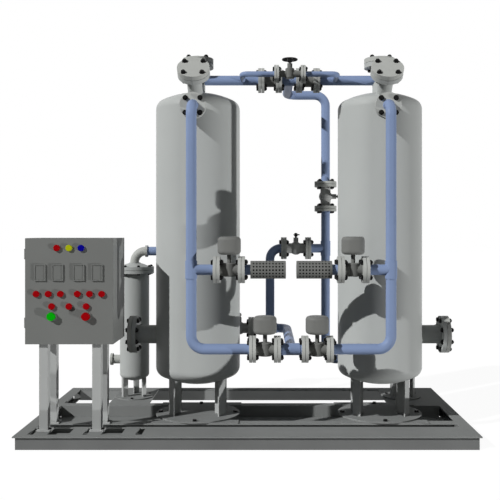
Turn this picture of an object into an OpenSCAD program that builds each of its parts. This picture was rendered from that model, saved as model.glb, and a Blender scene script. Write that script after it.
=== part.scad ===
// Twin-tower desiccant air dryer on a steel skid.
// Frame: origin under the middle of the skid, X to the right, Y to the back, Z up. Millimetres.

/* [Skid] */
// Length of the skid over its lip
skid_len = 2614; // [2400:1:3000]
// Depth of the skid over its lip
skid_dep = 1336; // [1300:1:1500]
// Height of the top of the deck frame
skid_top = 76; // [60:1:120]
// How far the deck frame overhangs the rails
lip = 13; // [4:0.5:20]
// Thickness of the deck plates
deck_t = 7; // [5:0.5:12]
// Flange width of the outer rails
rail_w = 47; // [40:1:60]
// Steel thickness of the rails
rail_t = 6; // [4:0.5:8]
// Width of the two end strips of the deck frame
end_strip = 69; // [66:1:80]
// Depth of the front strip of the deck frame
front_strip = 221; // [215:1:228]
// Width of the front strip that is left beside the cabinet bay
bay_edge = 50; // [50:1:58]
// Gap between the centre deck and the rear strip of the deck frame
rear_gap = 69; // [60:1:75]
// Flange width of the inner rails
inner_w = 77; // [66:1:80]
// Front edge of the front inner rail, behind the front lip
inner_front = 286; // [280:1:292]
// Rear edge of the centre deck, behind the front lip
centre_rear = 837; // [830:1:850]
// Thickness of the centre deck
centre_t = 6; // [4:0.5:10]
// Length between the anchor holes
anchor_x = 2300; // [2000:1:2400]
// Diameter of the anchor holes
anchor_d = 18; // [12:0.5:20]

/* [Towers] */
// Distance between the tower axes
tower_gap = 1133; // [1120:1:1150]
// Middle between the towers, along the skid
mid_x = 246.5; // [240:0.5:255]
// Tower axes, across the skid
tower_y = -138; // [-145:0.5:-130]
// Outside diameter of the vessels
tower_od = 520; // [510:1:530]
// Wall of the vessels
tower_t = 8; // [6:0.5:12]
// Lower end of the straight shell
shell_z0 = 380; // [370:1:390]
// Upper end of the straight shell
shell_z1 = 1973; // [1960:1:1985]
// Knuckle radius of the dished heads
knuckle_r = 60; // [50:1:70]
// Crown radius of the dished heads
crown_r = 520; // [500:1:560]
// Thickness of the base plates
base_t = 8; // [6:0.5:12]
// Bolt circle of the base plates
base_pcd = 464; // [455:1:470]
// Radius to the outer face of the legs
leg_r = 180; // [170:1:190]
// Flange width of the leg angles
leg_w = 75; // [60:1:80]
// Thickness of the leg angles
leg_t = 8; // [6:0.5:10]
// Legs, measured from the skid's length direction
leg_angle = 30; // [25:1:40]

/* [Nozzles] */
// Height of the joint face on the top nozzles
top_face_z = 2263; // [2255:1:2275]
// Height where the fill port's axis crosses the tower axis
fill_z = 1885; // [1880:1:1910]
// Slope of the fill port from the horizontal
fill_angle = 42; // [38:0.5:43]
// Length of the fill port along its axis
fill_len = 404; // [395:1:420]
// Height of the front nozzles
front_z = 1947; // [1930:1:1950]
// Joint face of the front nozzles, from the tower axis
front_reach = 340; // [335:1:345]
// Height of the drain ports
drain_z = 576; // [565:1:590]
// Joint face of the drain ports, from the tower axis
drain_reach = 399; // [380:1:400]
// Wall of the nozzle necks
neck_t = 5.5; // [4:0.5:7]
// Outside diameter of the top and fill necks
neck3_od = 88.9; // [84:0.1:92]
// Outside diameter of the drain necks
neck4_od = 114.3; // [108:0.1:118]

/* [Pipes] */
// Outside diameter of the main pipe
pipe_od = 60.3; // [57:0.1:61.5]
// Bore of the main pipe
pipe_id = 52.5; // [50:0.1:53.5]
// Bore of the branches
branch_id = 46; // [42:0.1:47]
// Outside diameter of the tee hubs
tee_od = 68; // [66:0.5:72]
// Bend radius of the main pipe
bend_r = 76; // [70:1:77]
// Outside diameter of the purge pipe
purge_od = 33.4; // [30:0.1:36]
// Bore of the purge pipe
purge_id = 26.6; // [22:0.1:28]
// Bend radius of the purge pipe
purge_bend = 38; // [30:1:60]
// Front pipe plane
front_y = -578; // [-584:0.5:-572]
// Rear pipe plane
rear_y = 375; // [372:0.5:380]
// Height of the lower manifold
low_z = 550; // [545:1:555]
// Height of the exhaust line
exhaust_z = 1000; // [985:1:1015]
// Height of the bypass line
bypass_z = 1102; // [1090:1:1115]
// Height of the top manifold
top_z = 2160; // [2155:1:2165]
// Purge line, in front of the tower axes
purge_out = 195; // [190:1:200]
// Purge legs, from the middle
purge_leg = 286; // [275:1:300]
// Bypass riser, along the skid
bypass_x = 131; // [126:1:135]
// Outlet riser, along the skid
outlet_x = 515; // [510:1:520]
// Filter pipe's drop behind the left tower, along the skid
drop_x = -330; // [-345:1:-315]

/* [Flanges] */
// Gasket thickness
gasket_t = 2; // [1:0.25:3]
// Clearance of a bolt in its hole, on diameter
bolt_clear = 2; // [1:0.25:3]
// Main flange diameter
flange_od = 152.4; // [148:0.1:156]
// Main flange thickness
flange_t = 18; // [16:0.5:20]
// Main flange bolt circle
flange_pcd = 120.65; // [118:0.05:122]
// Main bolt diameter
bolt_d = 16; // [12:1:18]
// Purge flange diameter
small_od = 108; // [104:0.1:112]
// Purge flange thickness
small_t = 13; // [10:0.5:16]
// Purge flange bolt circle
small_pcd = 79.4; // [78:0.1:82]
// Purge bolt diameter
small_bolt_d = 12; // [10:1:14]
// Port flange diameter, top and fill
port_od = 190.5; // [186:0.1:196]
// Port flange thickness, top and fill
port_t = 28; // [22:0.5:30]
// Port bolt circle, top and fill
port_pcd = 152.4; // [148:0.1:156]
// Drain flange diameter
drain_od = 228.6; // [222:0.1:232]
// Drain flange thickness
drain_t = 24; // [20:0.5:26]
// Drain bolt circle
drain_pcd = 190.5; // [186:0.1:194]

/* [Actuated valves] */
// Inlet valves, from the middle
inlet_off = 148; // [146:0.5:152]
// Exhaust valves, from the middle
exhaust_off = 351; // [346:0.5:356]
// Half length of a body over its flange faces
act_half = 69; // [67:0.5:70]
// Diameter of the body's drum
drum_d = 78; // [74:0.5:82]
// Top of the drum above the pipe axis
drum_top = 38; // [36:0.5:42]
// Diameter of the bonnet tube
bonnet_d = 24; // [20:0.5:28]
// Underside of the actuator above the pipe axis
act_z = 86; // [80:0.5:95]
// Diameter of the actuator
act_d = 132; // [126:0.5:136]
// Height of the actuator
act_h = 102; // [90:0.5:110]
// Edge radius of the actuator
act_edge = 21; // [8:0.5:24]
// Wall of the actuator
act_t = 7; // [5:0.5:8]
// Lift of the plug
lift = 18; // [10:0.5:20]
// Diameter of the valve stem
stem_d = 14; // [10:0.5:15]
// Radial clearance of a sliding or turning stem
stem_clear = 0.08; // [0.03:0.01:0.1]
// Seat bore
seat_d = 40; // [34:0.5:42]
// Gap left between a plug and its seat
seat_gap = 0.3; // [0.2:0.05:0.5]

/* [Other valves] */
// Check valves, from the middle
check_off = 117.5; // [117:0.5:120]
// Half length of a check valve over its flange faces
check_half = 53.5; // [52:0.5:54]
// Travel of a check disc
check_lift = 10; // [6:0.5:12]
// Half length of a lever valve over its flange faces
ball_half = 83; // [80:0.5:85]
// Diameter of the ball
ball_d = 68; // [64:0.5:70]
// Diameter of a lever valve's round body
ball_body_d = 90; // [86:0.5:94]
// Lever above the pipe axis
lever_z = 90; // [86:0.5:98]
// Length of a lever from its stem
lever_len = 190; // [150:1:220]
// Width of a lever
lever_w = 34; // [26:0.5:36]
// Thickness of a lever
lever_t = 8; // [4:0.5:10]
// Feed valve, along the skid
feed_x = -83; // [-88:0.5:-80]
// Bypass valve, along the skid
bypass_valve_x = 310; // [306:0.5:314]
// Height of the outlet valve
outlet_valve_z = 1460; // [1440:1:1480]
// Half length of the purge valve over its flange faces
purge_half = 78.5; // [74:0.5:82]
// Height of the hand wheel above the purge line
wheel_z = 87; // [80:0.5:95]
// Outside diameter of the hand wheel
wheel_d = 95; // [80:0.5:110]
// Rim diameter of the hand wheel
rim_d = 10; // [7:0.5:12]

/* [Mufflers] */
// Length of a muffler
muffler_len = 200; // [190:1:210]
// Outside diameter of a muffler
muffler_d = 101; // [95:0.5:106]
// Outer end of a muffler, from the middle
muffler_off = 230.5; // [225:0.5:235]
// Sheet thickness of a muffler
muffler_t = 2; // [1.5:0.5:4]
// Holes along a muffler
hole_cols = 10; // [6:1:11]
// Holes round a muffler
hole_rows = 16; // [10:1:18]
// Diameter of a muffler hole
hole_d = 10.5; // [6:0.5:11]

/* [Filters] */
// Pre-filter, from the left end of the skid
pre_in = 501; // [495:1:507]
// After-filter, from the right end of the skid
after_in = 265; // [261:1:271]
// Bowl diameter
bowl_d = 200; // [190:1:210]
// Bowl wall
bowl_t = 5; // [4:0.5:8]
// Lower end of the straight bowl
bowl_z0 = 238; // [230:1:250]
// Joint between bowl and cover
bowl_z1 = 953; // [945:1:960]
// Cover flange diameter
cover_d = 266; // [260:1:270]
// Flange thickness of bowl and cover
cover_t = 22; // [18:0.5:26]
// Rise of the domed cover
dome_h = 27; // [20:0.5:34]
// Bolt circle of the cover
cover_pcd = 234; // [230:1:240]
// Height of the lower port
port_z = 335; // [325:1:345]
// Height of the pipe above the cover
cover_pipe_z = 1082; // [1080:1:1090]
// Length of the inlet nozzle, from the filter axis
nozzle_len = 164; // [150:1:175]
// Length of the outlet nozzle, from the filter axis
outlet_len = 118; // [114:1:130]
// Diameter of the pipe collars
collar_d = 81; // [72:0.5:90]
// Length of the pipe collars
collar_len = 16; // [10:0.5:20]
// Radius of a filter's base plate
filter_base_r = 128; // [120:1:130]
// Filter element diameter
element_d = 90; // [70:1:110]

/* [Cabinet] */
// Cabinet width
cab_w = 500; // [480:1:510]
// Cabinet height
cab_h = 604; // [590:1:640]
// Cabinet depth behind the door
cab_d = 322; // [300:1:330]
// Middle of the cabinet, along the skid
cab_x = -1015; // [-1020:1:-1010]
// Underside of the cabinet
cab_z = 575; // [560:1:600]
// Front of the cabinet behind the door
cab_y = -548; // [-552:0.5:-545]
// Sheet thickness of the cabinet
cab_t = 2.5; // [2:0.25:4]
// Depth of the door
door_d = 20; // [16:0.5:26]
// Gap round the door
door_gap = 0.6; // [0.4:0.1:1.5]
// Diameter of the hinge barrels
barrel_d = 10; // [8:0.5:10]
// Diameter of the hinge pins
pin_d = 5; // [4:0.5:6]
// Lamp bezel diameter
lamp_d = 37; // [32:0.5:42]
// Lamp body diameter
lamp_body_d = 24; // [20:0.5:28]
// How far a lamp stands out
lamp_out = 13; // [8:0.5:18]
// Meter window width
meter_w = 63; // [56:0.5:70]
// Meter window height
meter_h = 93; // [80:0.5:96]
// Push button collar diameter
button_d = 56; // [46:0.5:58]
// Push button travel
button_travel = 5; // [3:0.5:6]
// Width of the stand's square tube
stand_w = 50; // [40:1:50]
// Wall of the stand's tube
stand_t = 3; // [2:0.5:5]
// Distance between the stand's legs, along the skid
stand_x = 303; // [290:1:320]
// Front legs of the stand, behind the front lip
stand_front = 146; // [142:1:150]
// Rear legs of the stand, behind the front lip
stand_rear = 323; // [323:1:326]

/* [Hidden] */
$fn = 64;
eps = 1;
half = tower_gap / 2;
tower_r = tower_od / 2;
front_edge = -skid_dep / 2;
deck_z = skid_top + centre_t;
base_z = deck_z + base_t;
centre_front = front_edge + inner_front + inner_w;
inner_x = skid_len / 2 - end_strip;
pre_x = pre_in - skid_len / 2;
after_x = skid_len / 2 - after_in;
purge_y = tower_y - purge_out;
cab_front = cab_y - door_gap - door_d;
cab_left = cab_x - cab_w / 2;
hinge = [cab_left - barrel_d / 2 - 1, cab_y - door_gap / 2];
foot_bolt_d = 8;
foot_bolt = stand_w / 2 + 7;

// A flange size: diameter, thickness, bolt circle, bolts, bolt diameter, bore
F1 = [small_od, small_t, small_pcd, 4, small_bolt_d, purge_id];
F2 = [flange_od, flange_t, flange_pcd, 4, bolt_d, pipe_id];
F3 = [port_od, port_t, port_pcd, 4, bolt_d, neck3_od - 2 * neck_t];
F4 = [drain_od, drain_t, drain_pcd, 8, bolt_d, neck4_od - 2 * neck_t];
FC = [cover_d, cover_t, cover_pcd, 8, small_bolt_d, bowl_d - 2 * bowl_t];

vessel_c = [0.67, 0.69, 0.68];
pipe_c = [0.48, 0.55, 0.70];
flange_c = [0.69, 0.70, 0.68];
valve_c = [0.44, 0.44, 0.43];
steel_c = [0.42, 0.43, 0.42];
dark_c = [0.05, 0.05, 0.05];

// Helpers

function unit(v) = v / norm(v);

// Moves the two ends of a path outwards by e
function stretch(p, e) = [for (i = [0 : len(p) - 1])
    i == 0 ? p[0] - unit(p[1] - p[0]) * e
    : i == len(p) - 1 ? p[i] + unit(p[i] - p[i - 1]) * e
    : p[i]];

// Places children at p with their Z axis along d
module aim(p, d) {
    translate(p)
        rotate([0, acos(d.z / norm(d)), atan2(d.y, d.x)])
            children();
}

// Places children, drawn for the right side about the middle, on one side
module on_side(s) {
    translate([mid_x, 0, 0])
        mirror([s < 0 ? 1 : 0, 0, 0])
            children();
}

module on_both() {
    for (s = [-1, 1])
        on_side(s) children();
}

module elbow(p, a, b, r, bend) {
    c = p + (b - a) * bend;
    z = cross(a, b);
    multmatrix([[-b.x, a.x, z.x, c.x], [-b.y, a.y, z.y, c.y], [-b.z, a.z, z.z, c.z], [0, 0, 0, 1]])
        rotate_extrude(angle = 90)
            translate([bend, 0])
                circle(r = r);
}

// A round bar along a path with square corners, bent at each corner
module bar(p, r, bend) {
    n = len(p);
    for (i = [0 : n - 2]) {
        d = unit(p[i + 1] - p[i]);
        a = i > 0 ? bend : 0;
        b = i < n - 2 ? bend : 0;
        aim(p[i] + d * a, d)
            cylinder(r = r, h = norm(p[i + 1] - p[i]) - a - b);
    }
    for (i = [1 : 1 : n - 2])
        elbow(p[i], unit(p[i] - p[i - 1]), unit(p[i + 1] - p[i]), r, bend);
}

// Children on the bolt circle of a flange, astride the axes
module on_bolts(f) {
    for (i = [0 : f[3] - 1])
        rotate([0, 0, 360 / f[3] * (i + 0.5)])
            translate([f[2] / 2, 0, 0])
                children();
}

// A solid flange with its joint face at p, its face looking along d
module blank(p, d, f) {
    aim(p, d)
        translate([0, 0, -f[1]])
            difference() {
                cylinder(d = f[0], h = f[1]);
                on_bolts(f)
                    translate([0, 0, -eps])
                        cylinder(d = f[4] + bolt_clear, h = f[1] + 2 * eps);
            }
}

// A welded pipe run. Each run is a path, outer and inner diameter and bend; each end is a flange;
// each tee is a hub's centre and direction
module spool(runs, ends, tees = []) {
    difference() {
        union() {
            for (r = runs)
                bar(r[0], r[1] / 2, r[3]);
            for (e = ends)
                blank(e[0], e[1], e[2]);
            for (t = tees)
                aim(t[0] - t[1] * tee_od * 0.75, t[1])
                    cylinder(d = tee_od, h = tee_od * 1.5);
        }
        for (r = runs)
            bar(stretch(r[0], eps), r[2] / 2, r[3]);
    }
}

// A drum with rounded edges, standing on its end
module round_drum(r, h, f) {
    rotate_extrude() {
        square([r - f, h]);
        translate([0, f])
            square([r, h - 2 * f]);
        translate([r - f, f])
            circle(r = f);
        translate([r - f, h - f])
            circle(r = f);
    }
}

// Half outline of a dished head above its tangent line
module head_outline(r, k, crown) {
    d = sqrt(pow(crown - k, 2) - pow(r - k, 2));
    translate([r - k, 0])
        intersection() {
            circle(r = k);
            translate([-k, 0])
                square([2 * k, k]);
        }
    intersection() {
        translate([0, -d])
            circle(r = crown);
        polygon([[0, 0], [r - k, 0], [(r - k) * 1.3, d * 0.3], [0, d * 0.5]]);
    }
}

// A closed vessel: a cylinder with dished heads
module dished(r, z0, z1, k, crown) {
    rotate_extrude() {
        translate([0, z0])
            square([r, z1 - z0]);
        translate([0, z1])
            head_outline(r, k, crown);
        translate([0, z0])
            mirror([0, 1])
                head_outline(r, k, crown);
    }
}

// Skid

module channel_profile(w, h, t) {
    difference() {
        square([w, h]);
        translate([t, t])
            square([w, h - 2 * t]);
    }
}

module long_rail() {
    rail_h = skid_top - deck_t;
    len = skid_len - 2 * lip;
    difference() {
        translate([-len / 2, front_edge + lip, 0])
            rotate([90, 0, 90])
                linear_extrude(len)
                    channel_profile(rail_w, rail_h, rail_t);
        for (x = [-1, 1])
            translate([x * anchor_x / 2, front_edge + lip + (rail_w + rail_t) / 2, -eps])
                cylinder(d = anchor_d, h = rail_t + 2 * eps);
    }
}

module long_rails() {
    color(steel_c) {
        long_rail();
        mirror([0, 1, 0])
            long_rail();
    }
}

module end_rail() {
    len = skid_dep - 2 * (lip + rail_w);
    translate([-skid_len / 2 + lip, len / 2, 0])
        rotate([90, 0, 0])
            linear_extrude(len)
                channel_profile(rail_w, skid_top - deck_t, rail_t);
}

module end_rails() {
    color(steel_c) {
        end_rail();
        mirror([1, 0, 0])
            end_rail();
    }
}

// Cross channels between the filters, from the middle, as shares of half the tower distance
cross_at = [-1.37, 0.78];

// Two channels under the centre deck and the cross channels that carry the rear strip
module inner_rails() {
    len = 2 * inner_x;
    rear = front_edge + centre_rear;
    cross_len = skid_dep - centre_rear - lip - rail_w;
    color(steel_c) {
        translate([-len / 2, front_edge + inner_front, 0])
            rotate([90, 0, 90])
                linear_extrude(len)
                    channel_profile(inner_w, skid_top, rail_t);
        translate([len / 2, rear, 0])
            rotate([90, 0, -90])
                linear_extrude(len)
                    channel_profile(inner_w, skid_top, rail_t);
        for (x = concat([pre_x, after_x], [for (c = cross_at) mid_x + half * c]))
            translate([x, rear + cross_len, 0])
                rotate([90, 0, 0])
                    linear_extrude(cross_len)
                        channel_profile(rail_w, skid_top - deck_t, rail_t);
    }
}

// Foot plates of the cabinet's stand, wider and deeper than its legs
foot_w = stand_w + 30;
foot_d = stand_w + 24;
// Bars of the cabinet bay beside its legs, and the bay's right end, from the middle of the cabinet
bay_mid = 48;
bay_right = 345;
bay_end = 461;

// Deck frame with the cabinet bay, and the centre deck that carries the towers
module deck_plates() {
    rear_y0 = front_edge + centre_rear + rear_gap;
    front_y1 = front_edge + front_strip;
    bay = front_strip - bay_edge;
    leg = stand_x / 2;
    bars = [-inner_x - foot_w / 2, for (x = [-leg, bay_mid, leg, bay_right, bay_end]) cab_x + x];
    color(steel_c) {
        difference() {
            translate([-skid_len / 2, front_edge, skid_top - deck_t])
                cube([skid_len, skid_dep, deck_t]);
            translate([-inner_x, front_y1, 0])
                cube([2 * inner_x, rear_y0 - front_y1, skid_top + eps]);
            for (i = [0 : len(bars) - 2])
                translate([bars[i] + foot_w / 2, front_y1 - bay, 0])
                    cube([bars[i + 1] - bars[i] - foot_w, bay - foot_w / 4, skid_top + eps]);
        }
        for (x = [pre_x, after_x])
            translate([x - filter_base_r, front_edge + centre_rear, skid_top - deck_t])
                cube([2 * filter_base_r, rear_gap, deck_t]);
        translate([-inner_x, centre_front, skid_top])
            cube([2 * inner_x, front_edge + centre_rear - centre_front, centre_t]);
    }
}

// Towers, drawn for the right side about the middle

module vessel_body() {
    translate([half, tower_y, 0])
        dished(tower_r, shell_z0, shell_z1, knuckle_r, crown_r);
}

fill_dir = [0, -cos(fill_angle), sin(fill_angle)];
fill_face = [half, tower_y, fill_z] + fill_dir * fill_len;
top_face = [half, tower_y, top_face_z];
front_face = [half, tower_y - front_reach, front_z];
drain_face = [half + drain_reach, tower_y, drain_z];

// Each nozzle: joint face, direction, flange size, neck length
nozzles = [
    [top_face, [0, 0, 1], F3, top_face_z - shell_z1],
    [fill_face, fill_dir, F3, fill_len / 1.8],
    [front_face, [0, -1, 0], F2, front_reach - tower_r + knuckle_r],
    [drain_face, [1, 0, 0], F4, drain_reach - tower_r + knuckle_r]
];

function neck_od(f) = f[5] + 2 * (f == F2 ? (pipe_od - pipe_id) / 2 : neck_t);

module vessel() {
    difference() {
        union() {
            vessel_body();
            for (n = nozzles) {
                blank(n[0], n[1], n[2]);
                aim(n[0] - n[1] * n[3], n[1])
                    cylinder(d = neck_od(n[2]), h = n[3] - eps);
            }
        }
        translate([half, tower_y, 0])
            dished(tower_r - tower_t, shell_z0, shell_z1, knuckle_r - tower_t, crown_r - tower_t);
        for (n = nozzles)
            aim(n[0] - n[1] * n[3], n[1])
                cylinder(d = n[2][5], h = n[3] + eps);
        aim([half, tower_y, top_z], [-1, 0, 0])
            cylinder(d = branch_id, h = neck3_od);
    }
}

module left_vessel() {
    color(vessel_c) on_side(-1) vessel();
}

module right_vessel() {
    color(vessel_c) on_side(1) vessel();
}

// One angle leg, cut to the head that it carries
module leg_profile(r, w, t) {
    translate([r - t, -w / 2])
        square([t, w]);
    translate([r - w, w / 2 - t])
        square([w, t]);
}

module stand() {
    difference() {
        translate([half, tower_y, base_z])
            linear_extrude(shell_z0 - base_z)
                for (m = [0, 1], n = [0, 1])
                    mirror([m, 0])
                        mirror([0, n])
                            rotate(-leg_angle)
                                leg_profile(leg_r, leg_w, leg_t);
        vessel_body();
    }
    translate([half, tower_y, deck_z])
        difference() {
            cylinder(r = tower_r, h = base_t);
            for (a = [0 : 90 : 270])
                rotate(a)
                    translate([base_pcd / 2, 0, -eps])
                        cylinder(d = bolt_d + bolt_clear, h = base_t + 2 * eps);
        }
}

module left_stand() {
    color(steel_c) on_side(-1) stand();
}

module right_stand() {
    color(steel_c) on_side(1) stand();
}

// Blind covers of the top, fill and drain ports
module port_covers() {
    color(flange_c)
        on_both()
            for (n = [nozzles[0], nozzles[1], nozzles[3]])
                blank(n[0] + n[1] * (gasket_t + n[2][1]), n[1], n[2]);
}

screen_t = 6;
screen_hole = 16;
screen_rings = [60, 120, 180];
// Space between a head's tangent line and the screen
bed_gap = 30;

module desiccant_beds() {
    color("white")
        on_both()
            translate([half, tower_y, shell_z0 + bed_gap + screen_t])
                cylinder(r = tower_r - tower_t - eps, h = shell_z1 - shell_z0 - 3 * bed_gap - 2 * screen_t);
}

// Perforated plates under and over each bed
module bed_screens() {
    color("silver")
        on_both()
            for (z = [shell_z0 + bed_gap, shell_z1 - 2 * bed_gap - screen_t])
                translate([half, tower_y, z])
                    difference() {
                        cylinder(r = tower_r - tower_t, h = screen_t);
                        for (r = screen_rings, i = [0 : r / 10 - 1])
                            rotate(i * 3600 / r)
                                translate([r, 0, -eps])
                                    cylinder(d = screen_hole, h = screen_t + 2 * eps);
                    }
}

// Pipework

// From the front nozzle down to the inlet valve, with a branch to the exhaust valve
module riser() {
    top = [half, tower_y - front_reach - gasket_t, front_z];
    low = [inlet_off + act_half + gasket_t, front_y, low_z];
    out = [exhaust_off + act_half + gasket_t, front_y, exhaust_z];
    run = [top, [half, front_y, front_z], [half, front_y, low_z], low];
    spool([[run, pipe_od, pipe_id, bend_r], [[[half, front_y, exhaust_z], out], pipe_od, branch_id, 0]],
        [[top, [0, 1, 0], F2], [low, [-1, 0, 0], F2], [out, [-1, 0, 0], F2]],
        [[[half, front_y, exhaust_z], [0, 0, 1]]]);
}

module left_riser() {
    color(pipe_c) on_side(-1) riser();
}

module right_riser() {
    color(pipe_c) on_side(1) riser();
}

// Gap between a muffler's packing and its drum
packing_gap = 3;

// Perforated drum with closed ends and tubular packing, on a short flanged pipe
module muffler() {
    face = [exhaust_off - act_half - gasket_t, front_y, exhaust_z];
    spool([[[face, [muffler_off - muffler_t, front_y, exhaust_z]], pipe_od, pipe_id, 0]],
        [[face, [1, 0, 0], F2]]);
    pitch = muffler_len / (hole_cols + 1);
    aim([muffler_off, front_y, exhaust_z], [-1, 0, 0])
        difference() {
            cylinder(d = muffler_d, h = muffler_len);
            translate([0, 0, muffler_t])
                difference() {
                    cylinder(d = muffler_d - 2 * muffler_t, h = muffler_len - 2 * muffler_t);
                    cylinder(d = muffler_d - 2 * (muffler_t + packing_gap), h = muffler_len - 2 * muffler_t);
                }
            translate([0, 0, muffler_t])
                cylinder(d = pipe_id, h = muffler_len - 2 * muffler_t);
            translate([0, 0, -eps])
                cylinder(d = pipe_od, h = muffler_t + 2 * eps);
            for (i = [1 : hole_cols], j = [0 : hole_rows - 1])
                translate([0, 0, i * pitch])
                    rotate([0, 90, j * 360 / hole_rows])
                        translate([0, 0, muffler_d / 2 - 2 * muffler_t])
                            cylinder(d = hole_d, h = 3 * muffler_t);
        }
}

module left_muffler() {
    color(valve_c) on_side(-1) muffler();
}

module right_muffler() {
    color(valve_c) on_side(1) muffler();
}

// From the feed valve to the lower valves, with the bypass riser
module inlet_header() {
    side = inlet_off - act_half - gasket_t;
    tee = [mid_x, front_y, low_z];
    feed = [feed_x + ball_half + gasket_t, rear_y, low_z];
    up = [bypass_valve_x - ball_half - gasket_t, rear_y, bypass_z];
    color(pipe_c)
        spool([
                [[tee - [side, 0, 0], tee + [side, 0, 0]], pipe_od, pipe_id, 0],
                [[tee, [mid_x, rear_y, low_z], feed], pipe_od, branch_id, bend_r],
                [[[bypass_x, rear_y, low_z], [bypass_x, rear_y, bypass_z], up], pipe_od, branch_id - 4, bend_r]
            ],
            [[tee - [side, 0, 0], [-1, 0, 0], F2], [tee + [side, 0, 0], [1, 0, 0], F2],
                [feed, [-1, 0, 0], F2], [up, [1, 0, 0], F2]],
            [[tee, [1, 0, 0]], [[bypass_x, rear_y, low_z], [1, 0, 0]]]);
}

module collar(p, d) {
    aim(p, d)
        difference() {
            cylinder(d = collar_d, h = collar_len);
            translate([0, 0, -eps])
                cylinder(d = pipe_id, h = collar_len + 2 * eps);
        }
}

cover_top = bowl_z1 + gasket_t / 2 + cover_t + dome_h;

// From the pre-filter's cover, behind the left tower, to the feed valve
module inlet_pipe() {
    feed = [feed_x - ball_half - gasket_t, rear_y, low_z];
    run = [[pre_x, rear_y, cover_top], [pre_x, rear_y, cover_pipe_z], [drop_x, rear_y, cover_pipe_z],
        [drop_x, rear_y, low_z], feed];
    color(pipe_c) {
        spool([[run, pipe_od, pipe_id, bend_r]], [[feed, [1, 0, 0], F2]]);
        collar([pre_x + bend_r, rear_y, cover_pipe_z], [1, 0, 0]);
    }
}

// From the check valves to the outlet valve
module outlet_header() {
    side = check_off - check_half - gasket_t;
    tee = [mid_x, tower_y, top_z];
    low = [outlet_x, rear_y, outlet_valve_z + ball_half + gasket_t];
    color(pipe_c)
        spool([
                [[tee - [side, 0, 0], tee + [side, 0, 0]], pipe_od, pipe_id, 0],
                [[tee, [mid_x, rear_y, top_z], [outlet_x, rear_y, top_z], low], pipe_od, branch_id, bend_r]
            ],
            [[tee - [side, 0, 0], [-1, 0, 0], F2], [tee + [side, 0, 0], [1, 0, 0], F2], [low, [0, 0, -1], F2]],
            [[tee, [1, 0, 0]]]);
}

// From the outlet valve to the after-filter, with a branch to the bypass valve
module outlet_pipe() {
    top = [outlet_x, rear_y, outlet_valve_z - ball_half - gasket_t];
    tee = [outlet_x, rear_y, bypass_z];
    side = [bypass_valve_x + ball_half + gasket_t, rear_y, bypass_z];
    run = [top, [outlet_x, rear_y, port_z], [after_x - bowl_d / 2 + bowl_t, rear_y, port_z]];
    color(pipe_c)
        difference() {
            spool([[run, pipe_od, pipe_id, bend_r], [[tee, side], pipe_od, branch_id, 0]],
                [[top, [0, 0, 1], F2], [side, [-1, 0, 0], F2]],
                [[tee, [0, 0, 1]]]);
            translate([after_x, rear_y, bowl_z0])
                cylinder(d = bowl_d, h = bowl_z1 - bowl_z0);
        }
}

// From a tower's top nozzle to its check valve, with the purge leg
module top_pipe() {
    face = [check_off + check_half + gasket_t, tower_y, top_z];
    purge = [purge_half + gasket_t, purge_y, top_z];
    leg = [[purge_leg, tower_y, top_z], [purge_leg, purge_y, top_z], purge];
    difference() {
        spool([[[[half, tower_y, top_z], face], pipe_od, branch_id, 0], [leg, purge_od, purge_id, purge_bend]],
            [[face, [-1, 0, 0], F2], [purge, [-1, 0, 0], F1]]);
        translate([half, tower_y, shell_z1])
            cylinder(d = neck3_od, h = top_face_z - shell_z1);
    }
}

module left_top_pipe() {
    color(pipe_c) on_side(-1) top_pipe();
}

module right_top_pipe() {
    color(pipe_c) on_side(1) top_pipe();
}

// Actuated valves, drawn about their pipe axis along X

body_wall = 9;
body_edge = 6;
chamber_d = drum_d - 2 * body_wall;
// Upper and lower face of the web that holds the seat
web_top = 1;
web_low = -5;
// Passages from the pipe into the chamber, and how far they stay off its wall and ends
passage = [16, 32];
passage_in = 3;
passage_end = 4;
plug_t = 6;
plug_d = seat_d + 8;
plug_z = web_top + seat_gap;
piston_z = act_z + act_edge + seat_gap;
piston_t = 14;
// Stem end, which meets the actuator's cover at full lift
stem_end = act_z + act_h - act_t - lift - seat_gap;

// Globe body: flow comes in under the seat and leaves over it
module act_valve() {
    deep = drum_top - body_wall;
    difference() {
        union() {
            translate([-act_half, 0, 0])
                rotate([0, 90, 0])
                    cylinder(d = pipe_od + body_edge, h = 2 * act_half);
            translate([0, 0, -drum_top])
                round_drum(drum_d / 2, 2 * drum_top, body_edge);
            for (s = [-1, 1])
                blank([s * act_half, 0, 0], [s, 0, 0], F2);
            cylinder(d = bonnet_d, h = act_z);
        }
        for (s = [-1, 1]) {
            aim([s * (act_half + eps), 0, 0], [-s, 0, 0])
                cylinder(d = pipe_id, h = act_half - chamber_d / 2);
            translate([s * (chamber_d / 2 - passage_in), 0, s > 0 ? deep / 2 : -deep / 2])
                cube([passage.x, passage.y, deep - 2 * passage_end], center = true);
        }
        translate([0, 0, web_top])
            cylinder(d = chamber_d, h = deep - web_top);
        translate([0, 0, -deep])
            cylinder(d = chamber_d, h = deep + web_low);
        translate([0, 0, web_low - eps])
            cylinder(d = seat_d, h = web_top - web_low + 2 * eps);
        cylinder(d = stem_d + 2 * stem_clear, h = act_z + eps);
    }
}

module actuator() {
    translate([0, 0, act_z])
        difference() {
            round_drum(act_d / 2, act_h, act_edge);
            translate([0, 0, act_t])
                round_drum(act_d / 2 - act_t, act_h - 2 * act_t, act_edge - act_t);
            translate([0, 0, -eps])
                cylinder(d = stem_d + 2 * stem_clear, h = act_t + 2 * eps);
        }
}

// Plug, stem and piston
module act_stem() {
    translate([0, 0, plug_z])
        cylinder(d = plug_d, h = plug_t);
    translate([0, 0, plug_z])
        cylinder(d = stem_d, h = stem_end - plug_z);
    translate([0, 0, piston_z])
        cylinder(r = act_d / 2 - act_t - seat_gap, h = piston_t);
}

inlet_at = [inlet_off, front_y, low_z];
exhaust_at = [exhaust_off, front_y, exhaust_z];

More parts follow.
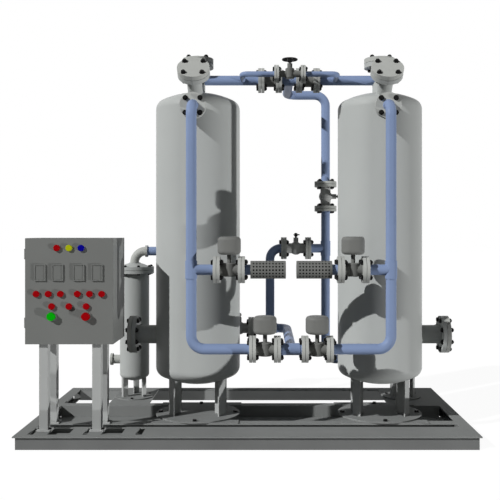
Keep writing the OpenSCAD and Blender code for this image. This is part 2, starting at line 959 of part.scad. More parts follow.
module left_inlet_valve() {
    color(valve_c) on_side(-1) translate(inlet_at) act_valve();
}

module right_inlet_valve() {
    color(valve_c) on_side(1) translate(inlet_at) act_valve();
}

module left_exhaust_valve() {
    color(valve_c) on_side(-1) translate(exhaust_at) act_valve();
}

module right_exhaust_valve() {
    color(valve_c) on_side(1) translate(exhaust_at) act_valve();
}

module actuators() {
    color(valve_c)
        on_both()
            for (p = [inlet_at, exhaust_at])
                translate(p) actuator();
}

module left_inlet_stem() {
    color("silver") on_side(-1) translate(inlet_at) act_stem();
}

module right_inlet_stem() {
    color("silver") on_side(1) translate(inlet_at) act_stem();
}

module left_exhaust_stem() {
    color("silver") on_side(-1) translate(exhaust_at) act_stem();
}

module right_exhaust_stem() {
    color("silver") on_side(1) translate(exhaust_at) act_stem();
}

// Check valves: a spring disc with its pin in a spider, opening towards the middle

check_bore = pipe_od + 3.7;
check_wall = 8;
check_seat_t = 6;
disc_t = 6;
disc_d = branch_id + 8;
check_pin_d = 10;
hub_d = 20;
hub_len = 10;
spoke_t = 4;
// Seat behind the flange face, and the room that is left before the hub
seat_in = 20;
hub_room = 14;
seat_x = check_half - seat_in;
hub_x = seat_x - seat_gap - disc_t - check_lift - hub_room;

module check_valve() {
    translate([check_off, tower_y, top_z])
        difference() {
            union() {
                for (s = [-1, 1])
                    blank([s * check_half, 0, 0], [s, 0, 0], F2);
                difference() {
                    aim([-check_half, 0, 0], [1, 0, 0])
                        cylinder(d = check_bore + 2 * check_wall, h = 2 * check_half);
                    aim([-check_half + flange_t, 0, 0], [1, 0, 0])
                        cylinder(d = check_bore, h = seat_x + check_half - flange_t);
                    aim([seat_x + check_seat_t, 0, 0], [1, 0, 0])
                        cylinder(d = check_bore, h = check_half);
                }
                intersection() {
                    aim([-check_half, 0, 0], [1, 0, 0])
                        cylinder(d = check_bore + check_wall, h = 2 * check_half);
                    aim([hub_x - hub_len, 0, 0], [1, 0, 0])
                        union() {
                            cylinder(d = hub_d, h = hub_len);
                            for (a = [30, 150, 270])
                                rotate(a)
                                    translate([0, -spoke_t / 2, 0])
                                        cube([(check_bore + check_wall) / 2, spoke_t, hub_len]);
                        }
                }
            }
            aim([seat_x - eps, 0, 0], [1, 0, 0])
                cylinder(d = branch_id, h = check_half);
            aim([-check_half - eps, 0, 0], [1, 0, 0])
                cylinder(d = pipe_id, h = flange_t + 2 * eps);
            aim([hub_x - hub_len - eps, 0, 0], [1, 0, 0])
                cylinder(d = check_pin_d + 2 * stem_clear, h = hub_len + 2 * eps);
        }
}

module check_disc() {
    translate([check_off, tower_y, top_z]) {
        aim([seat_x - seat_gap, 0, 0], [-1, 0, 0])
            cylinder(d = disc_d, h = disc_t);
        aim([seat_x - seat_gap, 0, 0], [-1, 0, 0])
            cylinder(d = check_pin_d, h = seat_x - hub_x + hub_len);
    }
}

module left_check_valve() {
    color(valve_c) on_side(-1) check_valve();
}

module right_check_valve() {
    color(valve_c) on_side(1) check_valve();
}

module left_check_disc() {
    color("silver") on_side(-1) check_disc();
}

module right_check_disc() {
    color("silver") on_side(1) check_disc();
}

// Purge valve with its hand wheel

purge_drum_d = 54;
purge_edge = 5;
purge_top = 34;
gland_d = 30;
wheel_stem_d = 12;
// Hub of the wheel, from below its plane to above it
wheel_hub_d = 26;
hub_low = 16;
hub_high = 6;
// Gap between the gland and the hub
hub_gap = 8;
wheel_at = [mid_x, purge_y, top_z];

module purge_valve() {
    color(valve_c)
        translate(wheel_at)
            difference() {
                union() {
                    aim([-purge_half, 0, 0], [1, 0, 0])
                        cylinder(d = purge_od + purge_edge, h = 2 * purge_half);
                    translate([0, 0, -purge_drum_d / 2])
                        round_drum(purge_drum_d / 2, purge_drum_d / 2 + purge_top, purge_edge);
                    cylinder(d = gland_d, h = wheel_z - hub_low - hub_gap);
                    for (s = [-1, 1])
                        blank([s * purge_half, 0, 0], [s, 0, 0], F1);
                }
                aim([-purge_half - eps, 0, 0], [1, 0, 0])
                    cylinder(d = purge_id, h = 2 * (purge_half + eps));
                cylinder(d = wheel_stem_d + 2 * stem_clear, h = wheel_z);
            }
}

// Stem with the hub, spokes and rim of the wheel
module purge_wheel() {
    rim_r = (wheel_d - rim_d) / 2;
    color(dark_c)
        translate(wheel_at) {
            cylinder(d = wheel_stem_d, h = wheel_z);
            translate([0, 0, wheel_z - hub_low])
                cylinder(d = wheel_hub_d, h = hub_low + hub_high);
            translate([0, 0, wheel_z]) {
                rotate_extrude()
                    translate([rim_r, 0])
                        circle(d = rim_d);
                for (a = [0 : 90 : 270])
                    rotate([0, 90, a])
                        cylinder(d = rim_d * 0.7, h = rim_r);
            }
        }
}

// Lever valves, drawn about their pipe axis along X with the lever towards the front

lever_neck_d = pipe_od + 10;
lever_gland_d = 34;
// Gland below the lever's hub, the hub itself and the nut over it
lever_gap = 16;
lever_hub_d = 24;
lever_hub_h = 8;
lever_nut_d = 22;
lever_nut_h = 6;
// Stem end above the lever, and its root in the ball
stem_over = 8;
stem_root = 6;

module ball_valve() {
    difference() {
        union() {
            aim([-ball_half, 0, 0], [1, 0, 0])
                cylinder(d = lever_neck_d, h = 2 * ball_half);
            sphere(d = ball_body_d);
            for (s = [-1, 1])
                blank([s * ball_half, 0, 0], [s, 0, 0], F2);
            cylinder(d = lever_gland_d, h = lever_z - lever_gap);
        }
        aim([-ball_half - eps, 0, 0], [1, 0, 0])
            cylinder(d = branch_id, h = 2 * (ball_half + eps));
        sphere(d = ball_d + 2 * seat_gap);
        cylinder(d = stem_d + 2 * stem_clear, h = ball_body_d);
    }
}

// Ball with its bore across the line, stem and cranked lever
module ball_lever() {
    difference() {
        sphere(d = ball_d);
        aim([0, -ball_d, 0], [0, 1, 0])
            cylinder(d = branch_id, h = 2 * ball_d);
    }
    translate([0, 0, ball_d / 2 - stem_root])
        cylinder(d = stem_d, h = lever_z + lever_t + stem_over - ball_d / 2 + stem_root);
    translate([0, 0, lever_z])
        cylinder(d = lever_w, h = lever_t);
    translate([-lever_w / 2, -lever_len, lever_z])
        cube([lever_w, lever_len, lever_t]);
    translate([0, 0, lever_z - lever_hub_h])
        cylinder(d = lever_hub_d, h = lever_hub_h);
    translate([0, 0, lever_z + lever_t])
        cylinder(d = lever_nut_d, h = lever_nut_h, $fn = 6);
}

module at_feed() {
    translate([feed_x, rear_y, low_z]) children();
}

module at_bypass() {
    translate([bypass_valve_x, rear_y, bypass_z]) children();
}

// The outlet valve stands upright, its stem to the right
module at_outlet() {
    translate([outlet_x, rear_y, outlet_valve_z])
        rotate([0, 90, 0])
            children();
}

module feed_valve() {
    color(valve_c) at_feed() ball_valve();
}

module bypass_valve() {
    color(valve_c) at_bypass() ball_valve();
}

module outlet_valve() {
    color(valve_c) at_outlet() ball_valve();
}

module feed_lever() {
    color(dark_c) at_feed() ball_lever();
}

module bypass_lever() {
    color(dark_c) at_bypass() ball_lever();
}

module outlet_lever() {
    color(dark_c) at_outlet() ball_lever();
}

// Filters

bowl_flange_z = bowl_z1 - gasket_t / 2;
cover_z = bowl_z1 + gasket_t / 2;
bowl_knuckle = 25;
bowl_crown = 160;
// Legs of a filter, and how far they stand in from its wall
filter_leg_w = 35;
filter_leg_t = 5;
filter_leg_in = 12;
// Bolts of a filter's base, in from its edge
filter_bolt_in = 16;
element_end = 10;

module bowl_outside() {
    rotate_extrude() {
        translate([0, bowl_z0])
            square([bowl_d / 2, bowl_flange_z - bowl_z0]);
        translate([0, bowl_z0])
            mirror([0, 1])
                head_outline(bowl_d / 2, bowl_knuckle, bowl_crown);
    }
}

module bowl_inside() {
    rotate_extrude() {
        translate([0, bowl_z0])
            square([bowl_d / 2 - bowl_t, bowl_z1 - bowl_z0]);
        translate([0, bowl_z0])
            mirror([0, 1])
                head_outline(bowl_d / 2 - bowl_t, bowl_knuckle - bowl_t, bowl_crown - bowl_t);
    }
}

// Bowl with its flange, lower port, legs and base plate
module filter_bowl() {
    difference() {
        union() {
            bowl_outside();
            blank([0, 0, bowl_flange_z], [0, 0, 1], FC);
        }
        bowl_inside();
        aim([0, 0, port_z], [-1, 0, 0])
            cylinder(d = pipe_id, h = bowl_d);
    }
    difference() {
        translate([0, 0, skid_top + base_t])
            linear_extrude(bowl_z0 - skid_top - base_t)
                for (a = [90, 210, 330])
                    rotate(a)
                        leg_profile(bowl_d / 2 - filter_leg_in, filter_leg_w, filter_leg_t);
        bowl_outside();
    }
    translate([0, 0, skid_top])
        difference() {
            cylinder(r = filter_base_r, h = base_t);
            on_filter_base()
                translate([0, 0, -eps])
                    cylinder(d = small_bolt_d + bolt_clear, h = base_t + 2 * eps);
        }
}

module on_filter_base() {
    for (a = [30, 150, 270])
        rotate(a)
            translate([filter_base_r - filter_bolt_in, 0, 0])
                children();
}

module on_filters() {
    for (x = [pre_x, after_x])
        translate([x, rear_y, 0])
            children();
}

module pre_filter_bowl() {
    color(vessel_c) translate([pre_x, rear_y, 0]) filter_bowl();
}

module after_filter_bowl() {
    color(vessel_c) translate([after_x, rear_y, 0]) filter_bowl();
}

// Domed covers with the outlet in the middle
module filter_heads() {
    top_r = bowl_d / 2;
    ball_r = (top_r * top_r + dome_h * dome_h) / (2 * dome_h);
    color(vessel_c)
        on_filters()
            difference() {
                union() {
                    blank([0, 0, cover_z + cover_t], [0, 0, 1], FC);
                    intersection() {
                        translate([0, 0, cover_z + cover_t + dome_h - ball_r])
                            sphere(r = ball_r);
                        translate([0, 0, cover_z + cover_t / 2])
                            cylinder(d = bowl_d, h = cover_t + dome_h);
                    }
                    translate([0, 0, cover_z + cover_t / 2])
                        cylinder(d = collar_d, h = cover_t / 2 + dome_h);
                }
                translate([0, 0, cover_z - eps])
                    cylinder(d = pipe_id, h = 2 * cover_t + dome_h);
            }
}

// Pleated-core elements hanging from the covers
module filter_elements() {
    color("ivory")
        on_filters()
            difference() {
                translate([0, 0, bowl_z0])
                    cylinder(d = element_d, h = cover_z - bowl_z0);
                translate([0, 0, bowl_z0 + element_end])
                    cylinder(d = pipe_id, h = cover_z - bowl_z0);
            }
}

module inlet_nozzle() {
    end = pre_x - nozzle_len;
    color(flange_c)
        difference() {
            union() {
                aim([end, rear_y, port_z], [1, 0, 0])
                    cylinder(d = pipe_od, h = nozzle_len - bowl_d / 2 + bowl_t);
                aim([end, rear_y, port_z], [1, 0, 0])
                    cylinder(d = collar_d, h = collar_len);
            }
            aim([end - eps, rear_y, port_z], [1, 0, 0])
                cylinder(d = pipe_id, h = nozzle_len);
            translate([pre_x, rear_y, bowl_z0])
                cylinder(d = bowl_d, h = bowl_z1 - bowl_z0);
        }
}

module outlet_nozzle() {
    end = [after_x + outlet_len, rear_y, cover_pipe_z];
    run = [[after_x, rear_y, cover_top], [after_x, rear_y, cover_pipe_z], end];
    color(pipe_c) {
        spool([[run, pipe_od, pipe_id, bend_r]], []);
        collar(end - [collar_len, 0, 0], [1, 0, 0]);
    }
}

// Control cabinet

// Cabinet parts are drawn from the lower left corner of the cabinet's front
module at_cabinet() {
    translate([cab_left, cab_y, cab_z]) children();
}

// Hinge knuckles: their heights, pitch, the gap between two and the thickness of their leaves
hinge_z = [cab_h * 0.15, cab_h * 0.8];
knuckle = 20;
knuckle_gap = 0.5;
leaf_t = 3;
// Mounting plate in the cabinet: inset from the walls, thickness, and its posts
plate_in = 40;
plate_t = 3;
post_d = 10;
post_h = 9;
post_in = plate_in + 20;

module barrels(first) {
    for (z = hinge_z, i = [first : 2 : 2])
        translate([hinge.x, hinge.y, cab_z + z + i * knuckle])
            children();
}

module cabinet() {
    color(steel_c) {
        difference() {
            at_cabinet()
                cube([cab_w, cab_d, cab_h]);
            at_cabinet()
                translate([cab_t, -eps, cab_t])
                    cube([cab_w - 2 * cab_t, cab_d - cab_t + eps, cab_h - 2 * cab_t]);
        }
        at_cabinet()
            translate([plate_in, cab_d - cab_t - post_h - plate_t, plate_in])
                cube([cab_w - 2 * plate_in, plate_t, cab_h - 2 * plate_in]);
        at_cabinet()
            for (x = [post_in, cab_w - post_in], z = [post_in, cab_h - post_in])
                aim([x, cab_d - cab_t, z], [0, -1, 0])
                    cylinder(d = post_d, h = post_h);
        barrels(0) {
            difference() {
                union() {
                    cylinder(d = barrel_d, h = knuckle - knuckle_gap);
                    translate([0, barrel_d / 2 - leaf_t, 0])
                        cube([cab_left - hinge.x + eps, leaf_t, knuckle - knuckle_gap]);
                }
                translate([0, 0, -eps])
                    cylinder(d = pin_d, h = knuckle + eps);
            }
        }
        for (z = hinge_z)
            translate([hinge.x, hinge.y, cab_z + z])
                cylinder(d = pin_d, h = 3 * knuckle - knuckle_gap);
    }
}

// Devices on the door, as shares of its width from the middle and of its height from below
button_row = 0.265;
lower_row = 0.358;
upper_row = 0.475;
meter_row = 0.675;
top_row = 0.907;
lamp_step = 0.138;
bank = 0.234;
button_at = 0.196;
meter_at = [-0.329, -0.13, 0.112, 0.32];
function spot(x, z) = [x * cab_w, cab_z + z * cab_h];
red_spots = concat([for (x = [-button_at, 0, button_at]) spot(x, lower_row)],
    [for (s = [-1, 1], i = [-1, 0, 1]) spot(s * bank + i * lamp_step, upper_row)], [spot(-lamp_step, top_row)]);
yellow_spot = spot(0, top_row);
blue_spot = spot(lamp_step, top_row);
meter_spots = [for (x = meter_at) spot(x, meter_row)];
start_spot = spot(-button_at, button_row);
stop_spot = spot(button_at, button_row);
meter_out = 8;
meter_rim = 5;
meter_deep = 30;
pane_in = 3;
skin = 3;
collar_h = 7;
collar_wall = 4.5;
button_stem_d = 16;
// Cap of a button: height, gap to its collar and gap to the door when pressed
cap_h = 22;
cap_gap = 0.5;
// Washer that keeps a button behind the door's skin
keeper_t = 4;
keeper_d = button_stem_d + 8;

// Children on the door's front, their Z axis towards the viewer
module on_door(at) {
    aim([cab_x + at.x, cab_front, at.y], [0, -1, 0])
        children();
}

module door() {
    color(steel_c) {
        difference() {
            translate([cab_left, cab_front, cab_z + door_gap])
                cube([cab_w, door_d, cab_h - 2 * door_gap]);
            translate([cab_left + cab_t, cab_front + skin, cab_z + door_gap + cab_t])
                cube([cab_w - 2 * cab_t, door_d, cab_h - 2 * (door_gap + cab_t)]);
            for (p = concat(red_spots, [yellow_spot, blue_spot]))
                on_door(p)
                    translate([0, 0, -skin - eps])
                        cylinder(d = lamp_body_d + 2 * stem_clear, h = skin + 2 * eps);
            for (p = [start_spot, stop_spot])
                on_door(p)
                    translate([0, 0, -skin - eps])
                        cylinder(d = button_stem_d + 2 * stem_clear, h = skin + 2 * eps);
            for (p = meter_spots)
                translate([cab_x + p.x, cab_front - eps, p.y])
                    translate([-meter_w / 2 + meter_rim, 0, -meter_h / 2 + meter_rim])
                        cube([meter_w - 2 * meter_rim, skin + 2 * eps, meter_h - 2 * meter_rim]);
        }
        for (p = [start_spot, stop_spot])
            on_door(p)
                difference() {
                    cylinder(d = button_d, h = collar_h);
                    translate([0, 0, -eps])
                        cylinder(d = button_d - 2 * collar_wall, h = collar_h + 2 * eps);
                }
        barrels(1) {
            difference() {
                union() {
                    cylinder(d = barrel_d, h = knuckle - knuckle_gap);
                    translate([0, -barrel_d / 2, 0])
                        cube([cab_left - hinge.x + eps, leaf_t, knuckle - knuckle_gap]);
                }
                translate([0, 0, -eps])
                    cylinder(d = pin_d + 2 * stem_clear, h = knuckle + eps);
            }
        }
    }
}

// Square tube legs on foot plates
module panel_stand() {
    color(steel_c)
        for (x = [cab_x - stand_x / 2, cab_x + stand_x / 2],
                y = [front_edge + stand_front, front_edge + stand_rear]) {
            translate([x, y, skid_top])
                difference() {
                    translate([-foot_w / 2, -foot_d / 2, 0])
                        cube([foot_w, foot_d, base_t]);
                    for (s = [-1, 1])
                        translate([s * foot_bolt, 0, -eps])
                            cylinder(d = foot_bolt_d + bolt_clear, h = base_t + 2 * eps);
                }
            translate([x - stand_w / 2, y - stand_w / 2, skid_top + base_t])
                difference() {
                    cube([stand_w, stand_w, cab_z - skid_top - base_t]);
                    translate([stand_t, stand_t, -eps])
                        cube([stand_w - 2 * stand_t, stand_w - 2 * stand_t, cab_z]);
                }
        }
}

module meter_windows() {
    color([0.2, 0.25, 0.25])
        for (p = meter_spots)
            translate([cab_x + p.x, cab_front, p.y]) {
                difference() {
                    translate([-meter_w / 2, -meter_out, -meter_h / 2])
                        cube([meter_w, meter_out, meter_h]);
                    translate([-meter_w / 2 + meter_rim, -meter_out - eps, -meter_h / 2 + meter_rim])
                        cube([meter_w - 2 * meter_rim, pane_in + eps, meter_h - 2 * meter_rim]);
                }
                translate([-meter_w / 2 + meter_rim, 0, -meter_h / 2 + meter_rim])
                    cube([meter_w - 2 * meter_rim, meter_deep, meter_h - 2 * meter_rim]);
            }
}

// Lens with a rounded rim on a body that passes through the door
module lamp() {
    edge = 4;
    rotate_extrude() {
        square([lamp_d / 2, lamp_out - edge]);
        translate([0, lamp_out - edge])
            square([lamp_d / 2 - edge, edge]);
        translate([lamp_d / 2 - edge, lamp_out - edge])
            intersection() {
                circle(r = edge);
                square([edge, edge]);
            }
    }
    translate([0, 0, -meter_deep])
        cylinder(d = lamp_body_d, h = meter_deep);
}

module red_lamps() {
    color("red")
        for (p = red_spots)
            on_door(p) lamp();
}

module yellow_lamp() {
    color("yellow") on_door(yellow_spot) lamp();
}

module blue_lamp() {
    color("blue") on_door(blue_spot) lamp();
}

// Cap, stem and the washer that keeps it behind the door's skin
module push_button() {
    translate([0, 0, button_travel + cap_gap])
        cylinder(d = button_d - 2 * (collar_wall + cap_gap), h = cap_h);
    translate([0, 0, -meter_deep])
        cylinder(d = button_stem_d, h = meter_deep + button_travel + cap_gap + eps);
    translate([0, 0, -skin - seat_gap - keeper_t])
        cylinder(d = keeper_d, h = keeper_t);
}

module start_button() {
    color("green") on_door(start_spot) push_button();
}

module stop_button() {
    color("red") on_door(stop_spot) push_button();
}

// Fasteners and gaskets

// Flanged joints of one side: face of the carrying flange, direction to its mate, size
side_joints = concat(
    [for (n = nozzles) [n[0], n[1], n[2]]],
    [for (v = [inlet_at, exhaust_at], s = [-1, 1]) [v + [s * act_half, 0, 0], [s, 0, 0], F2]],
    [for (s = [-1, 1]) [[check_off + s * check_half, tower_y, top_z], [s, 0, 0], F2]],
    [[[purge_half, purge_y, top_z], [1, 0, 0], F1]]);

lever_joints = concat(
    [for (v = [[feed_x, rear_y, low_z], [bypass_valve_x, rear_y, bypass_z]], s = [-1, 1])
        [v + [s * ball_half, 0, 0], [s, 0, 0], F2]],
    [for (s = [-1, 1]) [[outlet_x, rear_y, outlet_valve_z + s * ball_half], [0, 0, s], F2]],
    [for (x = [pre_x, after_x]) [[x, rear_y, bowl_flange_z], [0, 0, 1], FC]]);

// Hexagon of a head or nut: diameter over its corners and height, as shares of the bolt's diameter
hex_d = 1.7;
hex_h = 0.65;

module hexagon(d) {
    cylinder(d = d * hex_d, h = d * hex_h, $fn = 6);
}

// Bolt with hexagon head and nut through two flanges
module joint_bolts(j) {
    f = j[2];
    grip = 2 * f[1] + gasket_t;
    aim(j[0] - j[1] * f[1], j[1])
        on_bolts(f) {
            translate([0, 0, -f[4] * hex_h])
                hexagon(f[4]);
            cylinder(d = f[4], h = grip);
            translate([0, 0, grip])
                hexagon(f[4]);
        }
}

// Gap left between a gasket and each face
gasket_fit = 0.01;

module joint_gasket(j) {
    f = j[2];
    aim(j[0] + j[1] * gasket_fit, j[1])
        difference() {
            cylinder(d = f[2] - f[4] - bolt_clear - 2, h = gasket_t - 2 * gasket_fit);
            translate([0, 0, -eps])
                cylinder(d = f[5], h = gasket_t + 2 * eps);
        }
}

module flange_bolts() {
    color(dark_c) {
        on_both()
            for (j = side_joints)
                joint_bolts(j);
        for (j = lever_joints)
            joint_bolts(j);
    }
}

module gaskets() {
    color("gray") {
        on_both()
            for (j = side_joints)
                joint_gasket(j);
        for (j = lever_joints)
            joint_gasket(j);
    }
}

// Hexagon bolt standing on a plate, its shank reaching down through it
module plate_bolt(d, deep) {
    translate([0, 0, -deep])
        cylinder(d = d, h = deep);
    hexagon(d);
}

module base_bolts() {
    color(dark_c) {
        on_both()
            translate([half, tower_y, base_z])
                for (a = [0 : 90 : 270])
                    rotate(a)
                        translate([base_pcd / 2, 0, 0])
                            plate_bolt(bolt_d, base_t);
        on_filters()
            translate([0, 0, skid_top + base_t])
                on_filter_base()
                    plate_bolt(small_bolt_d, base_t);
        for (x = [cab_x - stand_x / 2, cab_x + stand_x / 2],
                y = [front_edge + stand_front, front_edge + stand_rear], s = [-1, 1])
            translate([x + s * foot_bolt, y, skid_top + base_t])
                plate_bolt(foot_bolt_d, base_t);
    }
}

long_rails();
end_rails();
inner_rails();
deck_plates();
left_vessel();
right_vessel();
left_stand();
right_stand();
port_covers();
desiccant_beds();
bed_screens();
left_riser();
right_riser();
left_muffler();
right_muffler();
inlet_header();
inlet_pipe();
outlet_header();
outlet_pipe();
left_top_pipe();
right_top_pipe();
left_inlet_valve();
right_inlet_valve();
left_exhaust_valve();
right_exhaust_valve();
actuators();
left_inlet_stem();
right_inlet_stem();
left_exhaust_stem();
right_exhaust_stem();
left_check_valve();
right_check_valve();
left_check_disc();
right_check_disc();
purge_valve();
purge_wheel();
feed_valve();
bypass_valve();
outlet_valve();
feed_lever();
bypass_lever();
outlet_lever();
pre_filter_bowl();
after_filter_bowl();
filter_heads();
filter_elements();
inlet_nozzle();
outlet_nozzle();
cabinet();
door();
panel_stand();
meter_windows();
red_lamps();
yellow_lamp();
blue_lamp();
start_button();
stop_button();
flange_bolts();
base_bolts();
gaskets();
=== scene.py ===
"""Desiccant air dryer: finishes, fasteners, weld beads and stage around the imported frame."""

import math

import bmesh
import bpy
import numpy as np
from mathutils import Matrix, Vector


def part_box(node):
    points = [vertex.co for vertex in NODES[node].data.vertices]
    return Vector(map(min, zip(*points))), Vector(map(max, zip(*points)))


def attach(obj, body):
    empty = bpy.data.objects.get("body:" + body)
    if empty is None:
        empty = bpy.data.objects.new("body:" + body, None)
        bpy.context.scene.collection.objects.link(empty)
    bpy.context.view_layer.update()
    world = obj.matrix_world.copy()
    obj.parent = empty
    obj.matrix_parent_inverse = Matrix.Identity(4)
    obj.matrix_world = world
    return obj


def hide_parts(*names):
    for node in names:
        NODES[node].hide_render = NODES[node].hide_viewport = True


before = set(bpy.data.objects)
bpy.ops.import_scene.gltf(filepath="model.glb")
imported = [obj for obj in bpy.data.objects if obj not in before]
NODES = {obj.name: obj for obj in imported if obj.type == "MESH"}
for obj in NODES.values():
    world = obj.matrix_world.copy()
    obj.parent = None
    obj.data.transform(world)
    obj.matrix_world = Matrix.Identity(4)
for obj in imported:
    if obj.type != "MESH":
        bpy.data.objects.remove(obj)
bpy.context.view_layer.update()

bl_info = {
    "name": "Desiccant Air Dryer",
    "version": (1, 0, 0),
    "blender": (4, 5, 0),
    "location": "View3D > Sidebar > Air Dryer",
    "description": "Finishes a twin-tower desiccant air dryer and sets its stage",
    "category": "Object",
}

# Nodes by finish
RAIL_NODES = ("long_rails", "end_rails")
VESSEL_NODES = ("left_vessel", "right_vessel")
FILTER_BOWLS = ("pre_filter_bowl", "after_filter_bowl")
PIPE_NODES = (
    "left_riser", "right_riser", "inlet_header", "inlet_pipe", "outlet_header", "outlet_pipe",
    "left_top_pipe", "right_top_pipe",
)
VALVE_NODES = (
    "left_inlet_valve", "right_inlet_valve", "left_exhaust_valve", "right_exhaust_valve",
    "left_check_valve", "right_check_valve", "purge_valve",
)
LEVER_VALVES = ("feed_valve", "bypass_valve", "outlet_valve")
MUFFLER_NODES = ("left_muffler", "right_muffler")
STEM_NODES = (
    "left_inlet_stem", "right_inlet_stem", "left_exhaust_stem", "right_exhaust_stem",
    "left_check_disc", "right_check_disc", "bed_screens",
)
HANDLE_NODES = ("purge_wheel", "feed_lever", "bypass_lever", "outlet_lever")
STANDS = ("left_stand", "right_stand")

# Where one finish gives way to another within a node, in metres
FOOT_TOP = 0.0925
FILTER_LEG_TOP = 0.24
FILTER_ELBOW_END = -0.714
DRUM_SPAN = (0.0305, 0.2305)
DRUM_WALL = 0.0015
DRUM_INSIDE = 0.0487
PIPE_REACH = 0.034
PANE_DEPTH = 0.001

# How far the normal of an upright face may lean, and how much of a pane's normal faces the front
UPRIGHT = 0.05
FACING = 0.9

# Members of the skid's open frame, in metres, as far as the solids don't give them
STRIP_END = -0.447
BEAM_WIDTH = 0.077
REAR_BEAM_FRONT = 0.092
WEB = 0.006
TRAY = 0.003
TRAY_END = 1.2465
BAY_DEPTH = (-0.618, -0.467)
BAY_OPENINGS = (
    (-1.238, -1.2065), (-1.1265, -1.007), (-0.927, -0.9035), (-0.8235, -0.71), (-0.63, -0.594),
)

# Reading the bolts: reach to the next bolt of a ring and how flat a ring is, in metres, and how parallel
BOLT_REACH = 0.115
RING_FLAT = 0.002
PARALLEL = 0.99
MM_PER_M = 1000

# Flange faces, as shares of the bolt circle, and the slack on their thickness in metres
FLANGE_RIM = 0.72
FLANGE_BORE = 0.22
FACE_SLACK = 0.0005

# Outside radius of the pipe behind a flange, by the flange's bolt circle in millimetres
PIPE_RADIUS = {121: 0.03015, 79: 0.0167}

# Hexagon bolts: shares of the head or of the shank, and how finely the round parts are cut
FLAT_SHARE = 0.82
CROWN_SHARE = 0.85
CORE_SHARE = 0.88
CREST_SHARE = 0.9
RIDGE_SHARE = 0.1
COIL_SHARE = 0.8
ROUND_SIDES = 24
STUB_SIDES = 16
COIL_STEPS = 10
RIDGE_SIDES = 4

# Weld beads: steps round a ring, sides of a bead and scale of the ripples
BEAD_STEPS = 96
BEAD_SIDES = 6
RIPPLE_SCALE = 90.0

# Bands of the noise over which a painted or worn surface changes shade, and how far its gloss drifts
DRIFT_BAND = (0.3, 0.7)
WEAR_BAND = (0.35, 0.75)
GLOSS_DRIFT = 0.07

# Pixels along each side of the picture
FRAME_PX = 500.0

# Directions that the lights shine in, and how wide they look in degrees
KEY_RAY = Vector((0.675, 0.51, -0.533))
LOW_RAY = Vector((-0.894, 0.316, 0.318))
BACK_RAY = Vector((-0.05, -0.998, -0.03))
SUN_ANGLE = 1.0
BACK_ANGLE = 6.0

# Floor: half its side in metres, its grey, and the glow and share of it that the camera sees
FLOOR_REACH = 40.0
FLOOR_GREY = 0.15
FLOOR_GLOW = 1.9
FLOOR_SHARE = 0.5
VIEW_END = 200.0


# Sizes and colours a user would change

def colour(name, rgb, text):
    """A colour property in linear RGB."""
    return bpy.props.FloatVectorProperty(
        name=name, description=text, default=rgb, subtype="COLOR", min=0.0, max=1.0)


def length(name, value, text):
    """A length property in metres."""
    return bpy.props.FloatProperty(name=name, description=text, default=value, unit="LENGTH", precision=4)


def number(name, value, text):
    """A plain number property."""
    return bpy.props.FloatProperty(name=name, description=text, default=value)


class DRYER_PG_colours(bpy.types.PropertyGroup):
    """Colours of the finishes."""
    vessel: colour("Vessel paint", (0.40, 0.415, 0.405), "Light grey of the towers and filters")
    pipe: colour("Pipe paint", (0.205, 0.27, 0.43), "Blue-grey of the pipework")
    flange: colour("Flange paint", (0.41, 0.42, 0.40), "Light grey of the flanges")
    valve: colour("Valve paint", (0.165, 0.168, 0.16), "Grey of the valve bodies and actuators")
    lever_valve: colour("Lever valve paint", (0.40, 0.405, 0.395), "Grey of the lever valves' bodies")
    skid: colour("Rail paint", (0.156, 0.16, 0.158), "Dark grey of the skid's outer rails")
    deck: colour("Deck paint", (0.215, 0.222, 0.218), "Grey of the skid's top, beams and foot plates")
    leg: colour("Leg paint", (0.38, 0.39, 0.383), "Light grey of the leg angles and of the cabinet's stand")
    cabinet: colour("Cabinet paint", (0.163, 0.168, 0.161), "Grey of the control cabinet")
    pane: colour("Meter pane", (0.15485, 0.1596, 0.15295), "Grey of the meters' panes")
    desiccant: colour("Desiccant", (0.8, 0.79, 0.75), "Off-white of the beads in the towers")
    media: colour("Filter media", (0.75, 0.72, 0.62), "Buff of the filter elements")
    gasket: colour("Gasket", (0.05, 0.05, 0.05), "Dark sheet between the flanges")
    # Painted shade: near-black for the inside of the muffler drums, seen through the holes
    drum_shade: colour("Muffler drum shade", (0.01, 0.01, 0.01), "Near-black painted shade inside the muffler drums")
    stainless: colour("Stainless steel", (0.55, 0.55, 0.55), "Bare steel of the stems, discs and screens")
    bolt: colour("Bolt steel", (0.008, 0.008, 0.008), "Black oxide of the bolts, levers and wheel")
    red: colour("Red lens", (0.30, 0.001, 0.003), "Red lamps and stop button")
    yellow: colour("Yellow lens", (0.38, 0.42, 0.005), "Yellow lamp")
    blue: colour("Blue lens", (0.002, 0.001, 0.24), "Blue lamp")
    green: colour("Green lens", (0.001, 0.37, 0.002), "Start button")


class DRYER_PG_fasteners(bpy.types.PropertyGroup):
    """Proportions of the bolts, as shares of their diameter."""
    head: number("Head height", 0.65, "Height of a head or nut")
    corner: number("Head corners", 1.7, "Diameter across the corners of a head or nut")
    washer: number("Washer", 1.95, "Diameter of a washer")
    washer_t: number("Washer thickness", 0.12, "Thickness of a washer")
    stub: number("Stub", 0.25, "How far the threaded end stands past its nut")
    turns: number("Thread turns", 3.0, "Turns of thread that show on a stub")


class DRYER_PG_welds(bpy.types.PropertyGroup):
    """Sizes of the weld beads."""
    pipe_bead: length("Pipe bead", 0.003, "Radius of the bead behind a pipe flange")
    ripple: length("Ripple", 0.0009, "Height of the ripples in a bead")


